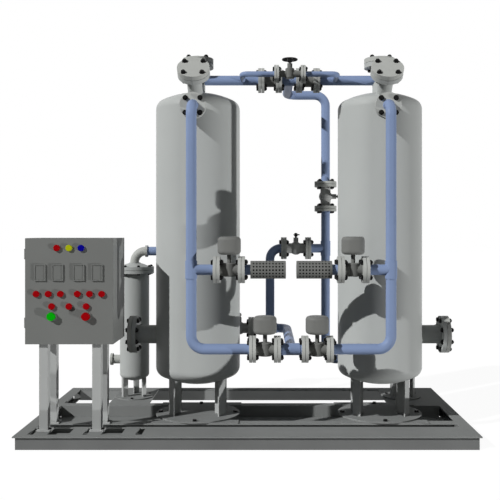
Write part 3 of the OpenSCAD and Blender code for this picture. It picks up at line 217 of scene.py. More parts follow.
class DRYER_PG_stage(bpy.types.PropertyGroup):
    """Camera and lights."""
    camera_x: length("Camera X", 0.108, "Camera, along the skid")
    camera_y: length("Camera Y", -4.886, "Camera, in front of the skid's middle")
    camera_z: length("Camera Z", 1.211, "Camera height")
    focal: number("Focal length", 760.0, "Focal length in pixels of the frame")
    centre_u: number("Axis across", 266.7, "Where the optical axis meets the frame, in pixels from the left")
    centre_v: number("Axis down", 232.5, "Where the optical axis meets the frame, in pixels from the top")
    key: number("Key", 3.6, "Strength of the key light from the front left")
    low: number("Low light", 2.2, "Strength of the low light from the front right")
    back: number("Back light", 1.3, "Strength of the soft light from behind")
    ambient: number("Ambient", 0.11, "Strength of the surrounding light")


# Material building blocks

def new_material(name):
    """A material with its output and shader, ready for more nodes."""
    mat = bpy.data.materials.new(name)
    mat.use_nodes = True
    tree = mat.node_tree
    shader = tree.nodes["Principled BSDF"]
    return mat, tree, shader


def set_inputs(node, **inputs):
    """Sets a node's sockets by name."""
    for name, value in inputs.items():
        node.inputs[name.replace("_", " ")].default_value = value


def add(tree, kind, **inputs):
    """A node of that kind with its inputs set by name."""
    node = tree.nodes.new(kind)
    set_inputs(node, **inputs)
    return node


def shade(rgb, factor):
    """The colour made lighter or darker, as RGBA."""
    return tuple(min(1.0, c * factor) for c in rgb) + (1.0,)


def pattern(tree, kind, **inputs):
    """A texture on the piece's own coordinates."""
    place = tree.nodes.new("ShaderNodeTexCoord")
    texture = add(tree, kind, **inputs)
    tree.links.new(place.outputs["Object"], texture.inputs["Vector"])
    return texture


def two_tone(tree, shader, value, rgb, factors, band=(0.0, 1.0)):
    """Gives a shader two shades of a colour, which change over a band of a value."""
    ramp = tree.nodes.new("ShaderNodeValToRGB")
    for i in range(2):
        ramp.color_ramp.elements[i].position = band[i]
        ramp.color_ramp.elements[i].color = shade(rgb, factors[i])
    tree.links.new(value, ramp.inputs["Fac"])
    tree.links.new(ramp.outputs["Color"], shader.inputs["Base Color"])


def relief(tree, shader, height, strength, depth):
    """Bumps a shader's surface by a height, and returns the bump."""
    bump = add(tree, "ShaderNodeBump", Strength=strength, Distance=depth)
    tree.links.new(height, bump.inputs["Height"])
    tree.links.new(bump.outputs["Normal"], shader.inputs["Normal"])
    return bump


def paint(name, rgb, roughness=0.45, spread=0.07, grain=420.0, depth=0.00025, edge=0.0015, patch=3.0,
          gloss_level=0.08):
    """Sprayed or cast finish: colour that drifts a little, uneven gloss, a fine skin and soft edges."""
    mat, tree, shader = new_material(name)
    link = tree.links.new
    drift = pattern(tree, "ShaderNodeTexNoise", Scale=patch, Detail=4.0, Roughness=0.6).outputs["Fac"]
    two_tone(tree, shader, drift, rgb, factors=(1.0 - spread, 1.0 + spread), band=DRIFT_BAND)
    gloss = add(tree, "ShaderNodeMapRange", To_Min=roughness - GLOSS_DRIFT, To_Max=roughness + GLOSS_DRIFT)
    link(drift, gloss.inputs["Value"])
    link(gloss.outputs["Result"], shader.inputs["Roughness"])
    skin = pattern(tree, "ShaderNodeTexNoise", Scale=grain, Detail=2.0).outputs["Fac"]
    bump = relief(tree, shader, skin, strength=0.35, depth=depth)
    if edge:
        soft = add(tree, "ShaderNodeBevel", Radius=edge)
        soft.samples = 4
        link(soft.outputs["Normal"], bump.inputs["Normal"])
    set_inputs(shader, Specular_IOR_Level=gloss_level)
    return mat


def steel(name, rgb, roughness=0.4, metallic=0.85):
    """Bare or blackened steel with fine turning marks and worn spots."""
    mat, tree, shader = new_material(name)
    wear = pattern(tree, "ShaderNodeTexNoise", Scale=60.0, Detail=5.0, Roughness=0.65).outputs["Fac"]
    two_tone(tree, shader, wear, rgb, factors=(0.8, 1.5), band=WEAR_BAND)
    marks = pattern(tree, "ShaderNodeTexNoise", Scale=900.0, Detail=1.0).outputs["Fac"]
    relief(tree, shader, marks, strength=0.2, depth=0.0002)
    set_inputs(shader, Metallic=metallic, Roughness=roughness, Specular_IOR_Level=0.1)
    return mat


def lens(name, rgb):
    """Moulded lamp plastic with a prism pattern under its skin."""
    mat, tree, shader = new_material(name)
    prism = pattern(tree, "ShaderNodeTexVoronoi", Scale=420.0).outputs["Distance"]
    two_tone(tree, shader, prism, rgb, factors=(1.1, 0.85))
    relief(tree, shader, prism, strength=0.15, depth=0.0003)
    set_inputs(shader, Roughness=0.35, Specular_IOR_Level=0.04)
    return mat


def granules(name, rgb, scale):
    """A packed bed of beads, with painted shade in the gaps between them."""
    mat, tree, shader = new_material(name)
    beads = pattern(tree, "ShaderNodeTexVoronoi", Scale=scale).outputs["Distance"]
    # Painted shade: the colour darkens to 0.55 of itself towards the gaps between the beads
    two_tone(tree, shader, beads, rgb, factors=(1.05, 0.55))
    relief(tree, shader, beads, strength=0.8, depth=0.002).invert = True
    set_inputs(shader, Roughness=0.8)
    return mat


def dress(nodes, *materials):
    """Gives CAD nodes these materials in place of their own."""
    for name in nodes:
        slots = NODES[name].data.materials
        slots.clear()
        for mat in materials:
            slots.append(mat)


# Reading the solids

def solids_of(node):
    """Corner clouds, in metres, of the separate solids in a CAD node."""
    mesh = NODES[node].data
    key_of = {}
    corner = []
    for v in mesh.vertices:
        key = tuple(round(c, 5) for c in v.co)
        corner.append(key_of.setdefault(key, len(key_of)))
    group = list(range(len(key_of)))

    def root(i):
        while group[i] != i:
            group[i] = group[group[i]]
            i = group[i]
        return i

    for p in mesh.polygons:
        first = root(corner[p.vertices[0]])
        for v in p.vertices[1:]:
            group[root(corner[v])] = first
    clouds = {}
    for key, i in key_of.items():
        clouds.setdefault(root(i), []).append(key)
    return [np.array(c) for c in clouds.values()]


class Bolt:
    """Where a bolt is: its middle, direction, diameter and the thickness that it holds."""

    def __init__(self, cloud, proportions):
        centre = (cloud.min(0) + cloud.max(0)) / 2
        spread = np.linalg.eigh(np.cov((cloud - centre).T))[1]
        axis = spread[:, 2]
        along = (cloud - centre) @ axis
        out = np.linalg.norm(cloud - centre - np.outer(along, axis), axis=1)
        self.at = Vector(centre)
        self.axis = Vector(axis)
        self.size = round(2 * MM_PER_M * out.max() / proportions.corner) / MM_PER_M
        self.grip = round(np.ptp(along) - 2 * proportions.head * self.size, 4)


class Joint:
    """A pair of flanges: the middle of its bolts and their circle."""

    def __init__(self, bolts):
        self.at = sum((b.at for b in bolts), Vector()) / len(bolts)
        self.axis = bolts[0].axis
        self.circle = round(2 * (bolts[0].at - self.at).length, 4)
        self.grip = bolts[0].grip


def read_bolts():
    """Every bolt of the flanged joints, and the joints that they make."""
    proportions = bpy.context.scene.dryer_fasteners
    bolts = [Bolt(c, proportions) for c in solids_of("flange_bolts")]
    joints = []
    left = list(bolts)
    while left:
        ring = [left.pop()]
        for b in ring:
            near = [
                o for o in left
                if abs(o.axis.dot(b.axis)) > PARALLEL and (o.at - b.at).length < BOLT_REACH
                and abs((o.at - b.at).dot(b.axis)) < RING_FLAT
            ]
            ring += near
            left = [o for o in left if o not in near]
        joints.append(Joint(ring))
    return bolts, joints


def paint_flanges(names, joints, material):
    """Gives the flanges on these nodes one of the node's materials, and says which joints they make."""
    sides = []
    for name in names:
        mesh = NODES[name].data
        count = len(mesh.polygons)
        centres = np.empty(count * 3)
        mesh.polygons.foreach_get("center", centres)
        centres = centres.reshape(-1, 3)
        index = np.zeros(count, dtype=np.int32)
        for j in joints:
            axis = np.array(j.axis)
            rel = centres - np.array(j.at)
            along = rel @ axis
            out = np.linalg.norm(rel - np.outer(along, axis), axis=1)
            on = np.abs(along) < j.grip / 2 + FACE_SLACK
            on &= (out < j.circle * FLANGE_RIM) & (out > j.circle * FLANGE_BORE)
            if on.any():
                index[on] = mesh.materials.find(material.name)
                sides.append((name, j, 1.0 if along[on].mean() > 0 else -1.0))
        mesh.polygons.foreach_set("material_index", index)
    return sides


def repaint(name, material, chosen):
    """Gives the chosen faces of a node another of the node's materials."""
    mesh = NODES[name].data
    slot = mesh.materials.find(material.name)
    for face in mesh.polygons:
        if chosen(face):
            face.material_index = slot


def on_foot(face):
    """Whether a face belongs to a foot plate."""
    return face.center.z < FOOT_TOP


def on_leg(face):
    """Whether a face belongs to a filter's leg."""
    return face.center.z < FILTER_LEG_TOP and abs(face.normal.z) < UPRIGHT


# Geometry Nodes

def new_tree(name, sizes):
    """A Geometry Nodes tree with a geometry in and out, named sizes and a material."""
    tree = bpy.data.node_groups.new(name, "GeometryNodeTree")
    face = tree.interface
    face.new_socket("Points", in_out="INPUT", socket_type="NodeSocketGeometry")
    ids = {}
    for label in sizes:
        ids[label] = face.new_socket(label, in_out="INPUT", socket_type="NodeSocketFloat").identifier
    ids["Finish"] = face.new_socket("Finish", in_out="INPUT", socket_type="NodeSocketMaterial").identifier
    face.new_socket("Pieces", in_out="OUTPUT", socket_type="NodeSocketGeometry")
    return tree, tree.nodes.new("NodeGroupInput"), tree.nodes.new("NodeGroupOutput"), ids


def maths(tree, operation, a, b):
    """A Math node on two sockets or numbers."""
    node = tree.nodes.new("ShaderNodeMath")
    node.operation = operation
    for i, value in enumerate((a, b)):
        if isinstance(value, (int, float)):
            node.inputs[i].default_value = value
        else:
            tree.links.new(value, node.inputs[i])
    return node.outputs[0]


def raised(tree, geometry, height):
    """A geometry moved up to that height."""
    lift = tree.nodes.new("ShaderNodeCombineXYZ")
    tree.links.new(height, lift.inputs["Z"])
    move = tree.nodes.new("GeometryNodeTransform")
    tree.links.new(geometry, move.inputs["Geometry"])
    tree.links.new(lift.outputs["Vector"], move.inputs["Translation"])
    return move.outputs["Geometry"]


def barrel(tree, sides, radius, depth, middle):
    """A closed prism or cylinder about Z, its middle at that height."""
    body = tree.nodes.new("GeometryNodeMeshCylinder")
    body.inputs["Vertices"].default_value = sides
    tree.links.new(radius, body.inputs["Radius"])
    tree.links.new(depth, body.inputs["Depth"])
    return raised(tree, body.outputs["Mesh"], middle)


def along_axis(tree):
    """A rotation that turns Z to each point's own axis."""
    axis = tree.nodes.new("GeometryNodeInputNamedAttribute")
    axis.data_type = "FLOAT_VECTOR"
    axis.inputs["Name"].default_value = "axis"
    turn = tree.nodes.new("FunctionNodeAlignRotationToVector")
    turn.axis = "Z"
    tree.links.new(axis.outputs["Attribute"], turn.inputs["Vector"])
    return turn.outputs["Rotation"]


def finish_tree(tree, geometry, source, sink):
    """Realizes the instances, gives them the finish and ends the tree."""
    real = tree.nodes.new("GeometryNodeRealizeInstances")
    coat = tree.nodes.new("GeometryNodeSetMaterial")
    tree.links.new(geometry, real.inputs["Geometry"])
    tree.links.new(real.outputs["Geometry"], coat.inputs["Geometry"])
    tree.links.new(source.outputs["Finish"], coat.inputs["Material"])
    tree.links.new(coat.outputs["Geometry"], sink.inputs["Pieces"])


def bolt_tree():
    """Bolts on points: washers, chamfered hexagons and a threaded stub; without a nut, a head alone."""
    sizes = ("Size", "Grip", "Head", "Corner", "Washer", "Washer thickness", "Stub", "Turns", "Nut")
    tree, source, sink, ids = new_tree("Hexagon bolts", sizes)
    link = tree.links.new
    get = source.outputs

    def times(a, b):
        return maths(tree, "MULTIPLY", a, b)

    def plus(a, b):
        return maths(tree, "ADD", a, b)

    size = get["Size"]
    half_grip = times(get["Grip"], 0.5)
    head = times(size, get["Head"])
    hexagon = times(times(size, get["Corner"]), 0.5)
    crown = times(hexagon, CROWN_SHARE)
    pad_r = times(times(size, get["Washer"]), 0.5)
    pad_t = times(size, get["Washer thickness"])
    stub = times(size, get["Stub"])
    shank = times(size, 0.5)
    join = tree.nodes.new("GeometryNodeJoinGeometry")

    def stack(sign, threaded):
        """Washer, hexagon and crown, and a threaded end on the nut's side, outwards from the joint."""
        def put(depth, start):
            middle = plus(plus(half_grip, start), times(depth, 0.5))
            return times(middle, sign)

        flat = times(head, FLAT_SHARE)
        top = maths(tree, "SUBTRACT", head, flat)
        parts = [
            barrel(tree, ROUND_SIDES, pad_r, pad_t, put(pad_t, 0.0)),
            barrel(tree, 6, hexagon, flat, put(flat, pad_t)),
            barrel(tree, ROUND_SIDES, crown, top, put(top, plus(pad_t, flat))),
        ]
        if threaded:
            middle = put(stub, plus(pad_t, head))
            parts.append(barrel(tree, STUB_SIDES, times(shank, CORE_SHARE), stub, middle))
            parts.append(thread(middle))
        return parts

    def thread(middle):
        """A ridge that winds round the stub."""
        coil = tree.nodes.new("GeometryNodeCurveSpiral")
        coil.inputs["Resolution"].default_value = COIL_STEPS
        crest = times(shank, CREST_SHARE)
        link(get["Turns"], coil.inputs["Rotations"])
        link(crest, coil.inputs["Start Radius"])
        link(crest, coil.inputs["End Radius"])
        link(times(stub, COIL_SHARE), coil.inputs["Height"])
        ridge = tree.nodes.new("GeometryNodeCurvePrimitiveCircle")
        ridge.inputs["Resolution"].default_value = RIDGE_SIDES
        link(times(shank, RIDGE_SHARE), ridge.inputs["Radius"])
        sweep = tree.nodes.new("GeometryNodeCurveToMesh")
        sweep.inputs["Fill Caps"].default_value = True
        link(coil.outputs["Curve"], sweep.inputs["Curve"])
        link(ridge.outputs["Curve"], sweep.inputs["Profile Curve"])
        start = maths(tree, "SUBTRACT", middle, times(stub, COIL_SHARE / 2))
        return raised(tree, sweep.outputs["Mesh"], start)

    nut = tree.nodes.new("GeometryNodeJoinGeometry")
    for part in stack(1.0, threaded=True):
        link(part, nut.inputs["Geometry"])
    choose = tree.nodes.new("GeometryNodeSwitch")
    choose.input_type = "GEOMETRY"
    link(maths(tree, "GREATER_THAN", get["Nut"], 0.5), choose.inputs["Switch"])
    link(nut.outputs["Geometry"], choose.inputs["True"])
    link(choose.outputs["Output"], join.inputs["Geometry"])
    for part in stack(-1.0, threaded=False):
        link(part, join.inputs["Geometry"])
    spread = tree.nodes.new("GeometryNodeInstanceOnPoints")
    link(get["Points"], spread.inputs["Points"])
    link(join.outputs["Geometry"], spread.inputs["Instance"])
    link(along_axis(tree), spread.inputs["Rotation"])
    finish_tree(tree, spread.outputs["Instances"], source, sink)
    return tree, ids


def bead_tree():
    """Weld beads: a rippled ring of its own radius at each point."""
    tree, source, sink, ids = new_tree("Weld beads", ("Bead", "Ripple"))
    link = tree.links.new
    ring = tree.nodes.new("GeometryNodeCurvePrimitiveCircle")
    ring.inputs["Resolution"].default_value = BEAD_STEPS
    ring.inputs["Radius"].default_value = 1.0
    radius = tree.nodes.new("GeometryNodeInputNamedAttribute")
    radius.data_type = "FLOAT"
    radius.inputs["Name"].default_value = "radius"
    spread = tree.nodes.new("GeometryNodeInstanceOnPoints")
    link(source.outputs["Points"], spread.inputs["Points"])
    link(ring.outputs["Curve"], spread.inputs["Instance"])
    link(along_axis(tree), spread.inputs["Rotation"])
    link(radius.outputs["Attribute"], spread.inputs["Scale"])
    real = tree.nodes.new("GeometryNodeRealizeInstances")
    link(spread.outputs["Instances"], real.inputs["Geometry"])
    even = tree.nodes.new("GeometryNodeSetCurveRadius")
    even.inputs["Radius"].default_value = 1.0
    link(real.outputs["Geometry"], even.inputs["Curve"])
    profile = tree.nodes.new("GeometryNodeCurvePrimitiveCircle")
    profile.inputs["Resolution"].default_value = BEAD_SIDES
    link(source.outputs["Bead"], profile.inputs["Radius"])
    sweep = tree.nodes.new("GeometryNodeCurveToMesh")
    link(even.outputs["Curve"], sweep.inputs["Curve"])
    link(profile.outputs["Curve"], sweep.inputs["Profile Curve"])
    noise = add(tree, "ShaderNodeTexNoise", Scale=RIPPLE_SCALE)
    normal = tree.nodes.new("GeometryNodeInputNormal")
    push = tree.nodes.new("ShaderNodeVectorMath")
    push.operation = "SCALE"
    swing = maths(tree, "SUBTRACT", noise.outputs["Fac"], 0.5)
    height = maths(tree, "MULTIPLY", swing, source.outputs["Ripple"])
    link(normal.outputs["Normal"], push.inputs["Vector"])
    link(height, push.inputs["Scale"])
    shift = tree.nodes.new("GeometryNodeSetPosition")
    link(sweep.outputs["Mesh"], shift.inputs["Geometry"])
    link(push.outputs["Vector"], shift.inputs["Offset"])
    finish_tree(tree, shift.outputs["Geometry"], source, sink)
    return tree, ids


def grow(name, points, tree, ids, sizes, finish, attributes):
    """Runs a tree on a set of points and returns the plain mesh that it makes."""
    seed = bpy.data.meshes.new(name + "_points")
    seed.from_pydata([tuple(p) for p in points], [], [])
    for label, kind, values in attributes:
        layer = seed.attributes.new(label, kind, "POINT")
        for item, value in zip(layer.data, values):
            if kind == "FLOAT_VECTOR":
                item.vector = value
            else:
                item.value = value
    holder = bpy.data.objects.new(name + "_points", seed)
    bpy.context.scene.collection.objects.link(holder)
    work = holder.modifiers.new("grow", "NODES")
    work.node_group = tree
    for label, value in sizes.items():
        work[ids[label]] = value
    work[ids["Finish"]] = finish
    graph = bpy.context.evaluated_depsgraph_get()
    mesh = bpy.data.meshes.new_from_object(holder.evaluated_get(graph))
    bpy.data.objects.remove(holder)
    return mesh


def to_object(name, shape, material):
    """One object at the origin from a worked shape, in one material."""
    mesh = bpy.data.meshes.new(name)
    shape.to_mesh(mesh)
    shape.free()
    mesh.materials.append(material)
    obj = bpy.data.objects.new(name, mesh)
    bpy.context.scene.collection.objects.link(obj)
    return obj


def piece(name, meshes, material):
    """One object at the origin from several meshes of one material."""
    joined = bmesh.new()
    for mesh in meshes:
        joined.from_mesh(mesh)
        bpy.data.meshes.remove(mesh)
    bmesh.ops.recalc_face_normals(joined, faces=joined.faces)
    for face in joined.faces:
        face.material_index = 0
    return to_object(name, joined, material)


def flat_bars(name, bars, material):
    """One object of flat bars, each from its lowest to its highest corner."""
    shape = bmesh.new()
    for low, high in bars:
        for v in bmesh.ops.create_cube(shape, size=1.0)["verts"]:
            v.co = Vector([low[i] + (v.co[i] + 0.5) * (high[i] - low[i]) for i in range(3)])
    return to_object(name, shape, material)


# Operators

class DRYER_OT_steelwork(bpy.types.Operator):
    """Paints the skid's outer rails, the leg angles and the cabinet's stand"""
    bl_idname = "dryer.steelwork"
    bl_label = "Paint Steelwork"

    def execute(self, context):
        tints = context.scene.dryer_colours
        coarse = {"grain": 260.0, "patch": 2.2}
        rail = paint("skid_paint", tints.skid, roughness=0.6, spread=0.1, gloss_level=0.02, **coarse)
        deck = paint("deck_paint", tints.deck, roughness=0.65, spread=0.08, gloss_level=0.02, **coarse)
        legs = paint("leg_paint", tints.leg, roughness=0.55, spread=0.06, **coarse)
        dress(RAIL_NODES, rail)
        dress(STANDS + ("panel_stand",), legs, deck)
        for stand in STANDS:
            repaint(stand, deck, on_foot)
        return {"FINISHED"}


class DRYER_OT_skid_frame(bpy.types.Operator):
    """Makes the skid's open frame of rails and beams in place of its plain deck"""
    bl_idname = "dryer.skid_frame"
    bl_label = "Make Skid Frame"

    def execute(self, context):
        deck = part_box("deck_plates")
        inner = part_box("inner_rails")
        bars = self.rim(deck, inner) + self.beams(deck, inner) + self.seats(deck, inner)
        frame_set = flat_bars("skid_frame", bars, bpy.data.materials["deck_paint"])
        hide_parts("deck_plates", "inner_rails")
        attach(frame_set, "skid")
        return {"FINISHED"}

    def rim(self, deck, inner):
        """Flat top of the outer rails, with the cabinet's bay in the front strip."""
        low, high = deck
        end, rear, top = inner[1]
        edges = [low.x] + [x for opening in BAY_OPENINGS for x in opening] + [high.x]
        bars = [
            ((low.x, low.y, low.z), (high.x, BAY_DEPTH[0], top)),
            ((low.x, BAY_DEPTH[1], low.z), (high.x, STRIP_END, top)),
            ((low.x, rear, low.z), (high.x, high.y, top)),
            ((low.x, STRIP_END, low.z), (-end, rear, top)),
            ((end, STRIP_END, low.z), (high.x, rear, top)),
        ]
        for left, right in zip(edges[0::2], edges[1::2]):
            bars.append(((left, BAY_DEPTH[0], low.z), (right, BAY_DEPTH[1], top)))
        return bars

    def beams(self, deck, inner):
        """Inner face of the rear rail, the two channel beams and the tray between them."""
        end, rear, top = inner[1]
        front = inner[0].y
        bars = [((-end, rear - WEB, 0.0), (end, rear, deck[0].z))]
        for edge, web in ((front, front + BEAM_WIDTH - WEB), (REAR_BEAM_FRONT, REAR_BEAM_FRONT)):
            bars += [
                ((-end, web, WEB), (end, web + WEB, top - WEB)),
                ((-end, edge, top - WEB), (end, edge + BEAM_WIDTH, top)),
                ((-end, edge, 0.0), (end, edge + BEAM_WIDTH, WEB)),
            ]
        bars.append(((-TRAY_END, front + BEAM_WIDTH, 0.0), (TRAY_END, REAR_BEAM_FRONT, TRAY)))
        return bars

    def seats(self, deck, inner):
        """Packing between the beams and the towers' base plates, and the plates under the filters."""
        end, rear, top = inner[1]
        bars = []
        for stand in STANDS:
            low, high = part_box(stand)
            for edge in (inner[0].y, REAR_BEAM_FRONT):
                bars.append(((low.x, edge, top), (high.x, edge + BEAM_WIDTH, low.z)))
        for bowl, reach in zip(FILTER_BOWLS, (-end, end)):
            low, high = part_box(bowl)
            start = (low.x, REAR_BEAM_FRONT + BEAM_WIDTH, deck[0].z)
            bars.append((start, (max(high.x, reach), rear, top)))
        return bars


class DRYER_OT_vessels(bpy.types.Operator):
    """Paints the towers, their covers and the filters, and finishes what they hold"""
    bl_idname = "dryer.vessels"
    bl_label = "Paint Vessels"

    def execute(self, context):
        tints = context.scene.dryer_colours
        shell = paint("vessel_paint", tints.vessel, roughness=0.42, spread=0.035, patch=1.6)
        legs = bpy.data.materials["leg_paint"]
        feet = bpy.data.materials["deck_paint"]
        dress(VESSEL_NODES + FILTER_BOWLS + ("filter_heads",), shell, legs, feet)
        for bowl in FILTER_BOWLS:
            repaint(bowl, legs, on_leg)
            repaint(bowl, feet, on_foot)
        flange = paint("cover_paint", tints.flange, roughness=0.45, spread=0.05)
        dress(("port_covers", "inlet_nozzle", "outlet_nozzle"), flange)
        dress(("desiccant_beds",), granules("desiccant", tints.desiccant, scale=220.0))
        dress(("filter_elements",), granules("filter_media", tints.media, scale=500.0))
        dress(("gaskets",), paint("gasket_sheet", tints.gasket, roughness=0.8, edge=0.0))
        return {"FINISHED"}


class DRYER_OT_pipework(bpy.types.Operator):
    """Paints the pipes and valves with their flanges, and lays the weld beads"""
    bl_idname = "dryer.pipework"
    bl_label = "Paint Pipework"

    def execute(self, context):
        tints = context.scene.dryer_colours
        cast = {"spread": 0.12, "grain": 180.0, "depth": 0.0006}
        pipe = paint("pipe_paint", tints.pipe, roughness=0.42, spread=0.05)
        flange = paint("flange_paint", tints.flange, roughness=0.45, spread=0.06)
        valve = paint("valve_paint", tints.valve, roughness=0.55, **cast)
        lever_valve = paint("lever_valve_paint", tints.lever_valve, **cast)
        # Near-black painted shade for the inside of the muffler drums
        drum_shade = paint("muffler_drum_shade", tints.drum_shade, roughness=0.9, spread=0.3, edge=0.0)
        dress(PIPE_NODES, pipe, flange)
        dress(VALVE_NODES, valve, flange)
        dress(LEVER_VALVES, lever_valve, flange)
        dress(MUFFLER_NODES, valve, flange, pipe, drum_shade)
        dress(("actuators",), paint("actuator_paint", tints.valve, roughness=0.5, spread=0.05))
        dress(STEM_NODES, steel("stainless", tints.stainless, roughness=0.3, metallic=1.0))
        dress(HANDLE_NODES, steel("black_steel", tints.bolt, roughness=0.45, metallic=0.3))
        joints = read_bolts()[1]
        sides = paint_flanges(PIPE_NODES, joints, flange)
        paint_flanges(VALVE_NODES + LEVER_VALVES + MUFFLER_NODES, joints, flange)
        repaint("inlet_pipe", flange, lambda face: face.center.x < FILTER_ELBOW_END)
        for muffler in MUFFLER_NODES:
            self.muffler_parts(muffler, pipe, drum_shade)
        self.weld_beads(context.scene.dryer_welds, sides, pipe)
        return {"FINISHED"}

    def muffler_parts(self, name, pipe, drum_shade):
        """Tells a muffler's pipe from its drum, and gives the drum's inside near-black painted shade."""
        low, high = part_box(name)
        y, z = (low.y + high.y) / 2, (low.z + high.z) / 2
        corners = [corner.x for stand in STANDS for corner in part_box(stand)]
        middle = sum(corners) / len(corners)
        first, last = DRUM_SPAN

        def out(face):
            return math.hypot(face.center.y - y, face.center.z - z)

        def off(face):
            return abs(face.center.x - middle)

        def in_drum(face):
            return first + DRUM_WALL < off(face) < last - DRUM_WALL and out(face) < DRUM_INSIDE

        repaint(name, pipe, lambda face: off(face) > last and out(face) < PIPE_REACH)
        # The drum's inside gets near-black painted shade, seen through the holes
        repaint(name, drum_shade, in_drum)

    def weld_beads(self, sizes, sides, pipe):
        """A bead round the pipe behind each of its flanges."""
        tree, ids = bead_tree()
        points = [j.at + j.axis * side * j.grip / 2 for name, j, side in sides]
        axes = [j.axis for name, j, side in sides]
        radii = [PIPE_RADIUS[round(j.circle * MM_PER_M)] for name, j, side in sides]
        mesh = grow(
            "pipe_welds", points, tree, ids, {"Bead": sizes.pipe_bead, "Ripple": sizes.ripple}, pipe,
            [("axis", "FLOAT_VECTOR", axes), ("radius", "FLOAT", radii)])
        beads = piece("pipe_welds", [mesh], pipe)
        for face in beads.data.polygons:
            face.use_smooth = True
        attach(beads, "skid")


class DRYER_OT_fasteners(bpy.types.Operator):
    """Puts detailed bolts in place of the plain ones"""
    bl_idname = "dryer.fasteners"
    bl_label = "Make Fasteners"

    def execute(self, context):
        shape = context.scene.dryer_fasteners
        black = steel("bolt_black", context.scene.dryer_colours.bolt, roughness=0.45, metallic=0.3)
        tree, ids = bolt_tree()

        def make(points, axes, size, grip, nut):
            sizes = {
                "Size": size, "Grip": grip, "Head": shape.head, "Corner": shape.corner,
                "Washer": shape.washer, "Washer thickness": shape.washer_t,
                "Stub": shape.stub, "Turns": shape.turns, "Nut": nut,
            }
            return grow("bolts", points, tree, ids, sizes, black, [("axis", "FLOAT_VECTOR", axes)])

        bolts = read_bolts()[0]
        meshes = []
        for size, grip in sorted({(b.size, b.grip) for b in bolts}):
            like = [b for b in bolts if (b.size, b.grip) == (size, grip)]
            meshes.append(make([b.at for b in like], [b.axis for b in like], size, grip, nut=1.0))
        flange_set = piece("flange_bolt_set", meshes, black)
        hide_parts("flange_bolts")
        meshes = []
        for size, seats in self.base_seats(shape):
            down = [Vector((0, 0, -1))] * len(seats)
            meshes.append(make(seats, down, size, grip=0.0, nut=0.0))
        base_set = piece("base_bolt_set", meshes, black)
        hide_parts("base_bolts")
        for made in (flange_set, base_set):
            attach(made, "skid")
        return {"FINISHED"}

    def base_seats(self, shape):
        """Sizes of the base bolts, and where the heads of each size sit."""
        seats = {}
        for cloud in solids_of("base_bolts"):
            low, high = cloud.min(0), cloud.max(0)
            size = round(MM_PER_M * (high[0] - low[0]) / shape.corner) / MM_PER_M
            seat = Vector(((low[0] + high[0]) / 2, (low[1] + high[1]) / 2, high[2] - shape.head * size))
            seats.setdefault(size, []).append(seat)
        return sorted(seats.items())


class DRYER_OT_control_panel(bpy.types.Operator):
    """Paints the cabinet and its door and finishes the lamps, meters and buttons"""
    bl_idname = "dryer.control_panel"
    bl_label = "Finish Control Panel"

    def execute(self, context):
        tints = context.scene.dryer_colours
        coat = paint(
            "cabinet_paint", tints.cabinet, roughness=0.5, spread=0.03, grain=700.0, edge=0.002, patch=4.0)
        pane = paint("meter_pane", tints.pane, roughness=0.3, spread=0.03, edge=0.0)
        dress(("cabinet", "door"), coat)
        dress(("meter_windows",), coat, pane)
        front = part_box("meter_windows")[0].y + PANE_DEPTH
        repaint("meter_windows", pane, lambda face: face.normal.y < -FACING and face.center.y > front)
        dress(("red_lamps", "stop_button"), lens("red_lens", tints.red))
        dress(("yellow_lamp",), lens("yellow_lens", tints.yellow))
        dress(("blue_lamp",), lens("blue_lens", tints.blue))
        dress(("start_button",), lens("green_lens", tints.green))
        return {"FINISHED"}


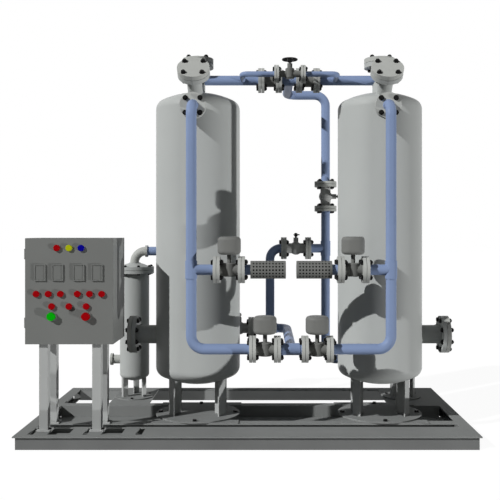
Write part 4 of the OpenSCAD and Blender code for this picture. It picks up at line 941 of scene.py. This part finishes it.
class DRYER_OT_stage(bpy.types.Operator):
    """Sets the camera, the floor, the background and the lights"""
    bl_idname = "dryer.stage"
    bl_label = "Set Stage"

    def execute(self, context):
        scene = context.scene
        stage = scene.dryer_stage
        scene.view_settings.view_transform = "Standard"
        camera = bpy.data.objects.new("camera", bpy.data.cameras.new("camera"))
        scene.collection.objects.link(camera)
        camera.location = (stage.camera_x, stage.camera_y, stage.camera_z)
        camera.rotation_euler = (math.pi / 2, 0.0, 0.0)
        camera.data.lens = camera.data.sensor_width * stage.focal / FRAME_PX
        camera.data.shift_x = (FRAME_PX / 2 - stage.centre_u) / FRAME_PX
        camera.data.shift_y = (stage.centre_v - FRAME_PX / 2) / FRAME_PX
        camera.data.clip_end = VIEW_END
        scene.camera = camera
        self.floor()
        self.world(scene, stage)
        self.sun("key", KEY_RAY, stage.key, SUN_ANGLE)
        self.sun("low", LOW_RAY, stage.low, SUN_ANGLE)
        self.sun("back", BACK_RAY, stage.back, BACK_ANGLE).visible_glossy = False
        return {"FINISHED"}

    def sun(self, name, ray, strength, angle):
        """A distant light that shines along a ray."""
        light = bpy.data.lights.new(name, "SUN")
        light.energy = strength
        light.angle = math.radians(angle)
        lamp = bpy.data.objects.new(name, light)
        lamp.rotation_mode = "QUATERNION"
        lamp.rotation_quaternion = ray.to_track_quat("-Z", "Y")
        bpy.context.scene.collection.objects.link(lamp)
        return lamp

    def seen(self, tree):
        """One where the camera, gloss or glass sees the background, else nothing."""
        path = tree.nodes.new("ShaderNodeLightPath")
        first = maths(tree, "MAXIMUM", path.outputs["Is Camera Ray"], path.outputs["Is Glossy Ray"])
        return maths(tree, "MAXIMUM", first, path.outputs["Is Transmission Ray"])

    def floor(self):
        """A wide pale floor that keeps a soft shadow."""
        mesh = bpy.data.meshes.new("floor")
        corners = [(x * FLOOR_REACH, y * FLOOR_REACH, 0) for x, y in ((-1, -1), (1, -1), (1, 1), (-1, 1))]
        mesh.from_pydata(corners, [], [(0, 1, 2, 3)])
        floor = bpy.data.objects.new("floor", mesh)
        bpy.context.scene.collection.objects.link(floor)
        mat = bpy.data.materials.new("floor")
        mat.use_nodes = True
        tree = mat.node_tree
        tree.nodes.clear()
        link = tree.links.new
        matt = add(tree, "ShaderNodeBsdfDiffuse", Color=(FLOOR_GREY, FLOOR_GREY, FLOOR_GREY, 1.0))
        glow = add(tree, "ShaderNodeEmission", Strength=FLOOR_GLOW)
        mix = tree.nodes.new("ShaderNodeMixShader")
        out = tree.nodes.new("ShaderNodeOutputMaterial")
        link(maths(tree, "MULTIPLY", self.seen(tree), FLOOR_SHARE), mix.inputs["Fac"])
        link(matt.outputs["BSDF"], mix.inputs[1])
        link(glow.outputs["Emission"], mix.inputs[2])
        link(mix.outputs["Shader"], out.inputs["Surface"])
        mesh.materials.append(mat)
        floor.visible_shadow = False

    def world(self, scene, stage):
        """White behind the object, plain light all round."""
        scene.world = bpy.data.worlds.new("studio")
        scene.world.use_nodes = True
        tree = scene.world.node_tree
        back = tree.nodes["Background"]
        set_inputs(back, Color=(1.0, 1.0, 1.0, 1.0))
        power = add(tree, "ShaderNodeMapRange", To_Min=stage.ambient, To_Max=1.0)
        tree.links.new(self.seen(tree), power.inputs["Value"])
        tree.links.new(power.outputs["Result"], back.inputs["Strength"])


# Add-on

GROUPS = {
    "dryer_colours": DRYER_PG_colours,
    "dryer_fasteners": DRYER_PG_fasteners,
    "dryer_welds": DRYER_PG_welds,
    "dryer_stage": DRYER_PG_stage,
}
OPERATORS = (
    DRYER_OT_steelwork,
    DRYER_OT_skid_frame,
    DRYER_OT_vessels,
    DRYER_OT_pipework,
    DRYER_OT_fasteners,
    DRYER_OT_control_panel,
    DRYER_OT_stage,
)


class DRYER_PT_sidebar(bpy.types.Panel):
    """Lists the steps that finish the dryer"""
    bl_idname = "DRYER_PT_sidebar"
    bl_label = "Air Dryer"
    bl_space_type = "VIEW_3D"
    bl_region_type = "UI"
    bl_category = "Air Dryer"

    def draw(self, context):
        for step in OPERATORS:
            self.layout.operator(step.bl_idname)
        for name, group in GROUPS.items():
            box = self.layout.box()
            for prop in group.__annotations__:
                box.prop(getattr(context.scene, name), prop)


def register():
    for group in GROUPS.values():
        bpy.utils.register_class(group)
    for name, group in GROUPS.items():
        setattr(bpy.types.Scene, name, bpy.props.PointerProperty(type=group))
    for cls in OPERATORS + (DRYER_PT_sidebar,):
        bpy.utils.register_class(cls)


def unregister():
    for cls in reversed(OPERATORS + (DRYER_PT_sidebar,)):
        bpy.utils.unregister_class(cls)
    for name, group in GROUPS.items():
        delattr(bpy.types.Scene, name)
        bpy.utils.unregister_class(group)


def main():
    """Registers the add-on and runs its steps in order."""
    register()
    for step in OPERATORS:
        group, name = step.bl_idname.split(".")
        getattr(getattr(bpy.ops, group), name)()


if __name__ == "__main__":
    main()
